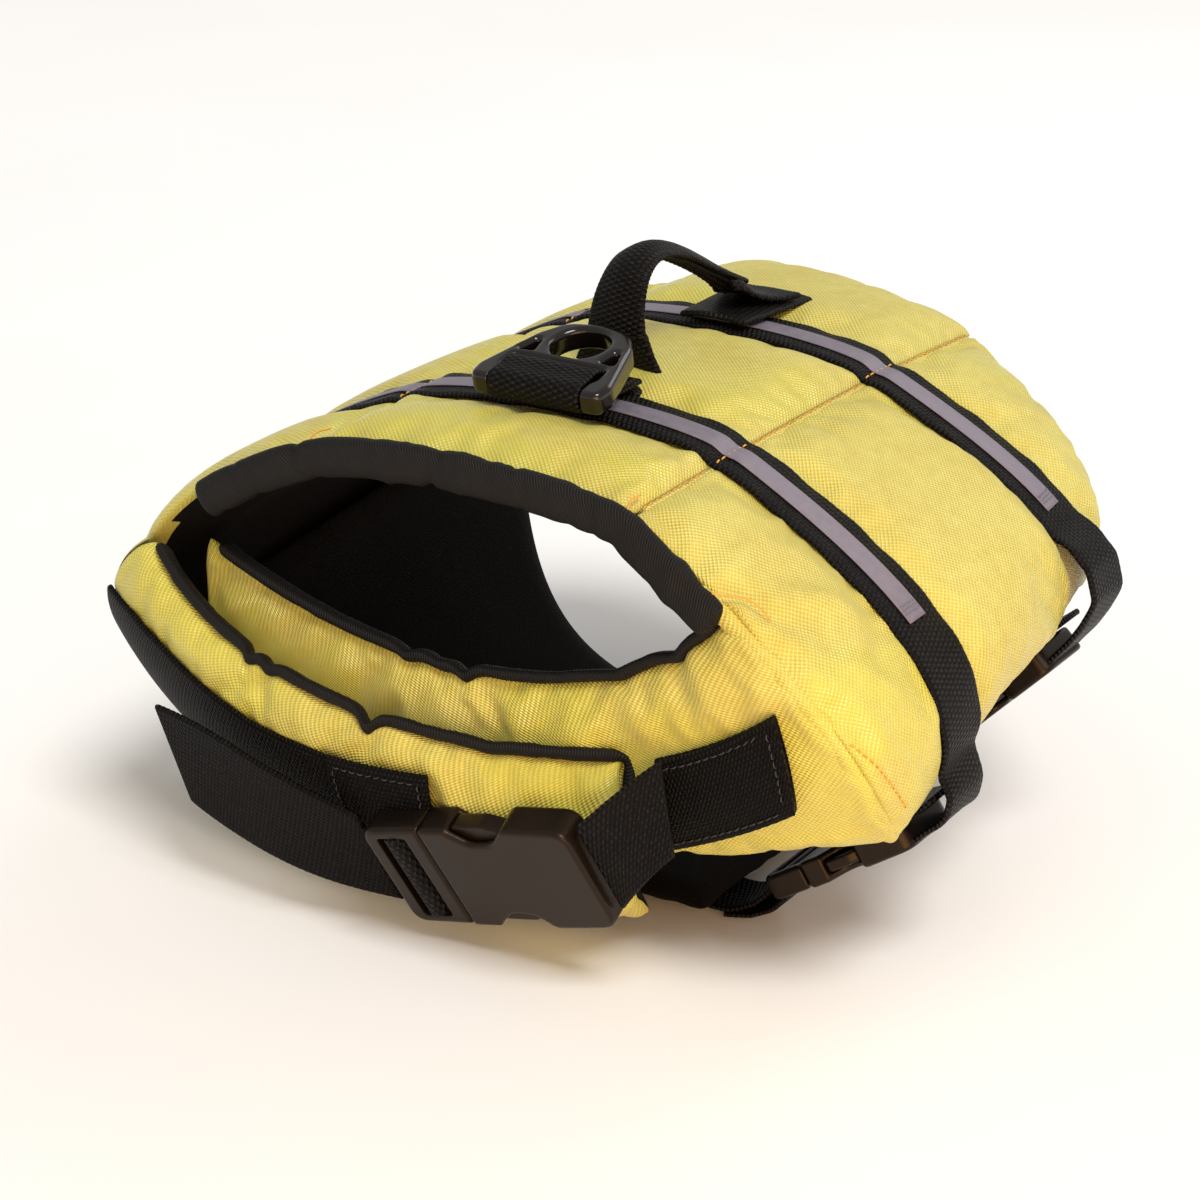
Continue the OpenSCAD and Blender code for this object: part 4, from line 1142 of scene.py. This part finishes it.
def side_release(prefix, arms, matrix, l, web, t, notch, slot_to=9):
    """A closed buckle, l long and t thick for webbing web wide. x runs along the webbing from the plug's end,
    y across it and z through the thickness. notch is where the pads lie, as shares of l."""
    w = web + 7
    mouth, frame_l = 0.29 * l + 0.35, 0.29 * l
    n0, n1 = notch[0] * l, notch[1] * l
    wall = 1.7
    bar = l - 4
    matrix = matrix @ Matrix.Translation((-l / 2, 0, 0))
    # socket: its outline dips in at both sides, where the arms' pads can be pressed
    reach = n1 - n0
    dip = [(n0, w / 2), (n0 + 0.5, w / 2 - 0.8), (n0 + reach * 0.34, w / 2 - 4.6), (n0 + reach * 0.72, w / 2 - 4.4),
           (n1, w / 2 + 0.1), (n1 + 2.5, w / 2 + 0.1)]
    outline = ([(mouth, w / 2 - 0.1)] + dip + [(l, w / 2 - 0.6)])
    corner = [1.0, 1.0, 1.5, 5, 5, 3, 2, 4.5]
    outline = rounded(outline + [(x, -y) for x, y in outline[::-1]], corner + corner[::-1])
    body = flat_solid(prefix + "_socket_shell", [outline], -t / 2, t / 2, 1.0)
    cut(body,
        prism(rect(mouth - 2, bar - 6.5, -w / 2 + wall, w / 2 - wall), -t / 2 + wall, t / 2 - wall),
        prism(rect(n0 + 0.35, n1 - 0.6, -w / 2 - 2, w / 2 + 2), -t / 2 + wall + 0.07, t / 2 - wall - 0.07),
        prism(rounded(rect(bar - 3.8, bar, -web / 2 - 0.6, web / 2 + 0.6), 1.2), -t, slot_to))
    finish_moulding(body, matrix, buckle_plastic, VEST, prefix + "_socket")
    # plug: a frame with two slots, a shoulder that meets the socket and a flat tongue
    outline = rounded([(0, -w / 2 + 0.4), (frame_l, -w / 2), (frame_l, w / 2), (0, w / 2 - 0.4)], [4.2, 0.8, 0.8, 4.2])
    plug = flat_solid(prefix + "_plug_frame", [outline], -t / 2 + 0.3, t / 2 - 0.3, 1.3)
    slots = [prism(rounded(rect(x - 1.8, x + 1.8, -web / 2 - 0.6, web / 2 + 0.6), 1.0), -t, t)
             for x in (0.1 * l, 0.1 * l + 5)]
    cut(plug, *slots)
    tongue = rounded(rect(frame_l - 1, 0.56 * l, -web / 14, web / 14), 0.8)
    cut(plug, flat_solid("tongue", [tongue], -t / 4, t / 4, 0.4), operation="UNION")
    finish_moulding(plug, matrix, buckle_plastic, VEST, prefix + "_plug")
    # arms
    rx, ry = 0.29 * l + 1.65, w / 2 - 4.1
    h = t / 2 - wall - 0.35
    for s, node in zip((1, -1), arms):
        outline = rounded([(x, s * y) for x, y in (
            (rx - 1.2, ry - 1.3), (rx + 2, ry - 1.2), (n1 - 1.6, ry - 0.9), (n1 - 1.2, w / 2 - 2.2),
            ((n0 + n1) / 2 + 1.5, w / 2 - 0.35), (n0 + 1.2, w / 2 - 0.5), (n0 + 0.5, w / 2 - 1.4),
            (n0 + 0.4, ry + 0.8), (rx, ry + 1.2))], [1.2, 0.5, 1, 1.6, 4, 1, 0.6, 0.5, 1.2])
        arm = flat_solid(node + "_arm", [outline], -h, h, 0.5)
        finish_moulding(arm, matrix, buckle_plastic, node, node, 0.3, 2)


chest_place = turned((17.2, -71.5, 26.7), (-14.5, "Y"), (114, "X"))
side_release("chest", ("chest_latch_upper", "chest_latch_lower"), chest_place, 60, 25, 9, (0.43, 0.70), 3.2)
threaded = np.array([[(x, y, z) for y in np.linspace(-12.3, 12.3, 13)] for x, z in (
    (-1.5, -1.6), (1.5, -3.4), (4.0, -2.4), (5.6, 1.2), (6.6, 3.9), (8.5, 4.5), (10.4, 3.9), (11.4, 1.0), (13, -2.4),
    (16, -4.9), (22, -5.6))])
threaded = moved_by(chest_place @ Matrix.Translation((-30, 0, 0)), threaded)
ribbon("chest_plug_webbing", relax(spread(threaded, 44), 1), 1.3, webbing, facing=-1)
for prefix, at, lean in (("front_belly", (81, FRONT_Y, 24.5), -34), ("rear_belly", (83, REAR_Y, 38.5), -46)):
    side_release(prefix, (prefix + "_latch_a", prefix + "_latch_b"), turned(at, (lean, "Y")), 44, 16, 7, (0.43, 0.68))

hull = rounded([(-18.2, -3.0), (18.2, -3.0), (18.9, 2.4), (13.5, 20.5), (9, 27.2), (0, 28.9), (-9, 27.2),
                (-13.5, 20.5), (-18.9, 2.4)], [3, 3, 5, 8, 8, 8, 8, 8, 5], 10)
ring = flat_solid("leash_ring_plate", [hull, rounded(rect(-13.2, 13.2, 2.9, 9.6), 2.0), disc(0, 18.5, 7.15, 64),
                  rounded([(9.6, 11.8), (13.6, 11.8), (11.7, 17.4), (10.7, 17.4)], 0.8),
                  rounded([(-9.6, 11.8), (-13.6, 11.8), (-11.7, 17.4), (-10.7, 17.4)], 0.8)], -3, 3, 1.5)
cut(ring, prism(rect(-13.2, 13.2, -6, 3.2), -5, 5))
bpy.ops.mesh.primitive_cylinder_add(vertices=40, radius=2.2, depth=30, rotation=(0, math.pi / 2, 0))
bar = bpy.context.object
bpy.ops.object.transform_apply(location=False, rotation=True, scale=False)
cut(ring, bar, operation="UNION")
finish_moulding(ring, turned((0, -26, 128), (13, "X")), ring_plastic, "leash_ring", "leash_ring",
                0.3, 4)


# ---------------------------------------------------------------- floor and light

def area_light(name, azimuth, elevation, distance, size, power, color):
    data = bpy.data.lights.new(name, "AREA")
    data.size, data.energy, data.color = size, power, color
    lamp = added(name, data)
    lamp.rotation_mode = "QUATERNION"
    lamp.location, lamp.rotation_quaternion = look_from(azimuth, elevation, distance, (0, 10, 70))
    return lamp


sun_data = bpy.data.lights.new("key", "SUN")
sun_data.energy, sun_data.angle, sun_data.color = 2.12, math.radians(24), (1.0, 0.985, 0.96)
sun = added("key", sun_data)
sun.rotation_mode = "QUATERNION"
sun.rotation_quaternion = look_from(62, 58, 1, (0, 0, 0))[1]
area_light("front_fill", 30, 6, 1.1, 0.8, 2.6, (1.0, 0.66, 0.36))
area_light("low_fill", 48, 3, 0.42, 0.26, 0.75, (1.0, 0.50, 0.14))
area_light("rim", 165, 40, 1.2, 0.6, 2.5, (1.0, 0.98, 0.96))
world = bpy.data.worlds.new("studio")
world.use_nodes = True
world.node_tree.nodes["Background"].inputs[0].default_value = (1.0, 0.985, 0.96, 1.0)
world.node_tree.nodes["Background"].inputs[1].default_value = 0.50
bpy.context.scene.world = world
bpy.context.scene.view_settings.view_transform = "Standard"
floor_paint = Graph("floor_paint", Roughness=0.9, Specular_IOR_Level=0.1)
floor_paint.finish(floor_paint.blend(floor_paint.noise(6, 2.0), rgb(0.86, 0.85, 0.84), rgb(0.90, 0.89, 0.88)))
floor = new_mesh("floor", [(-30, -30, 0), (30, -30, 0), (30, 30, 0), (-30, 30, 0)], [(0, 1, 2, 3)],
                 floor_paint.material, smooth=False)
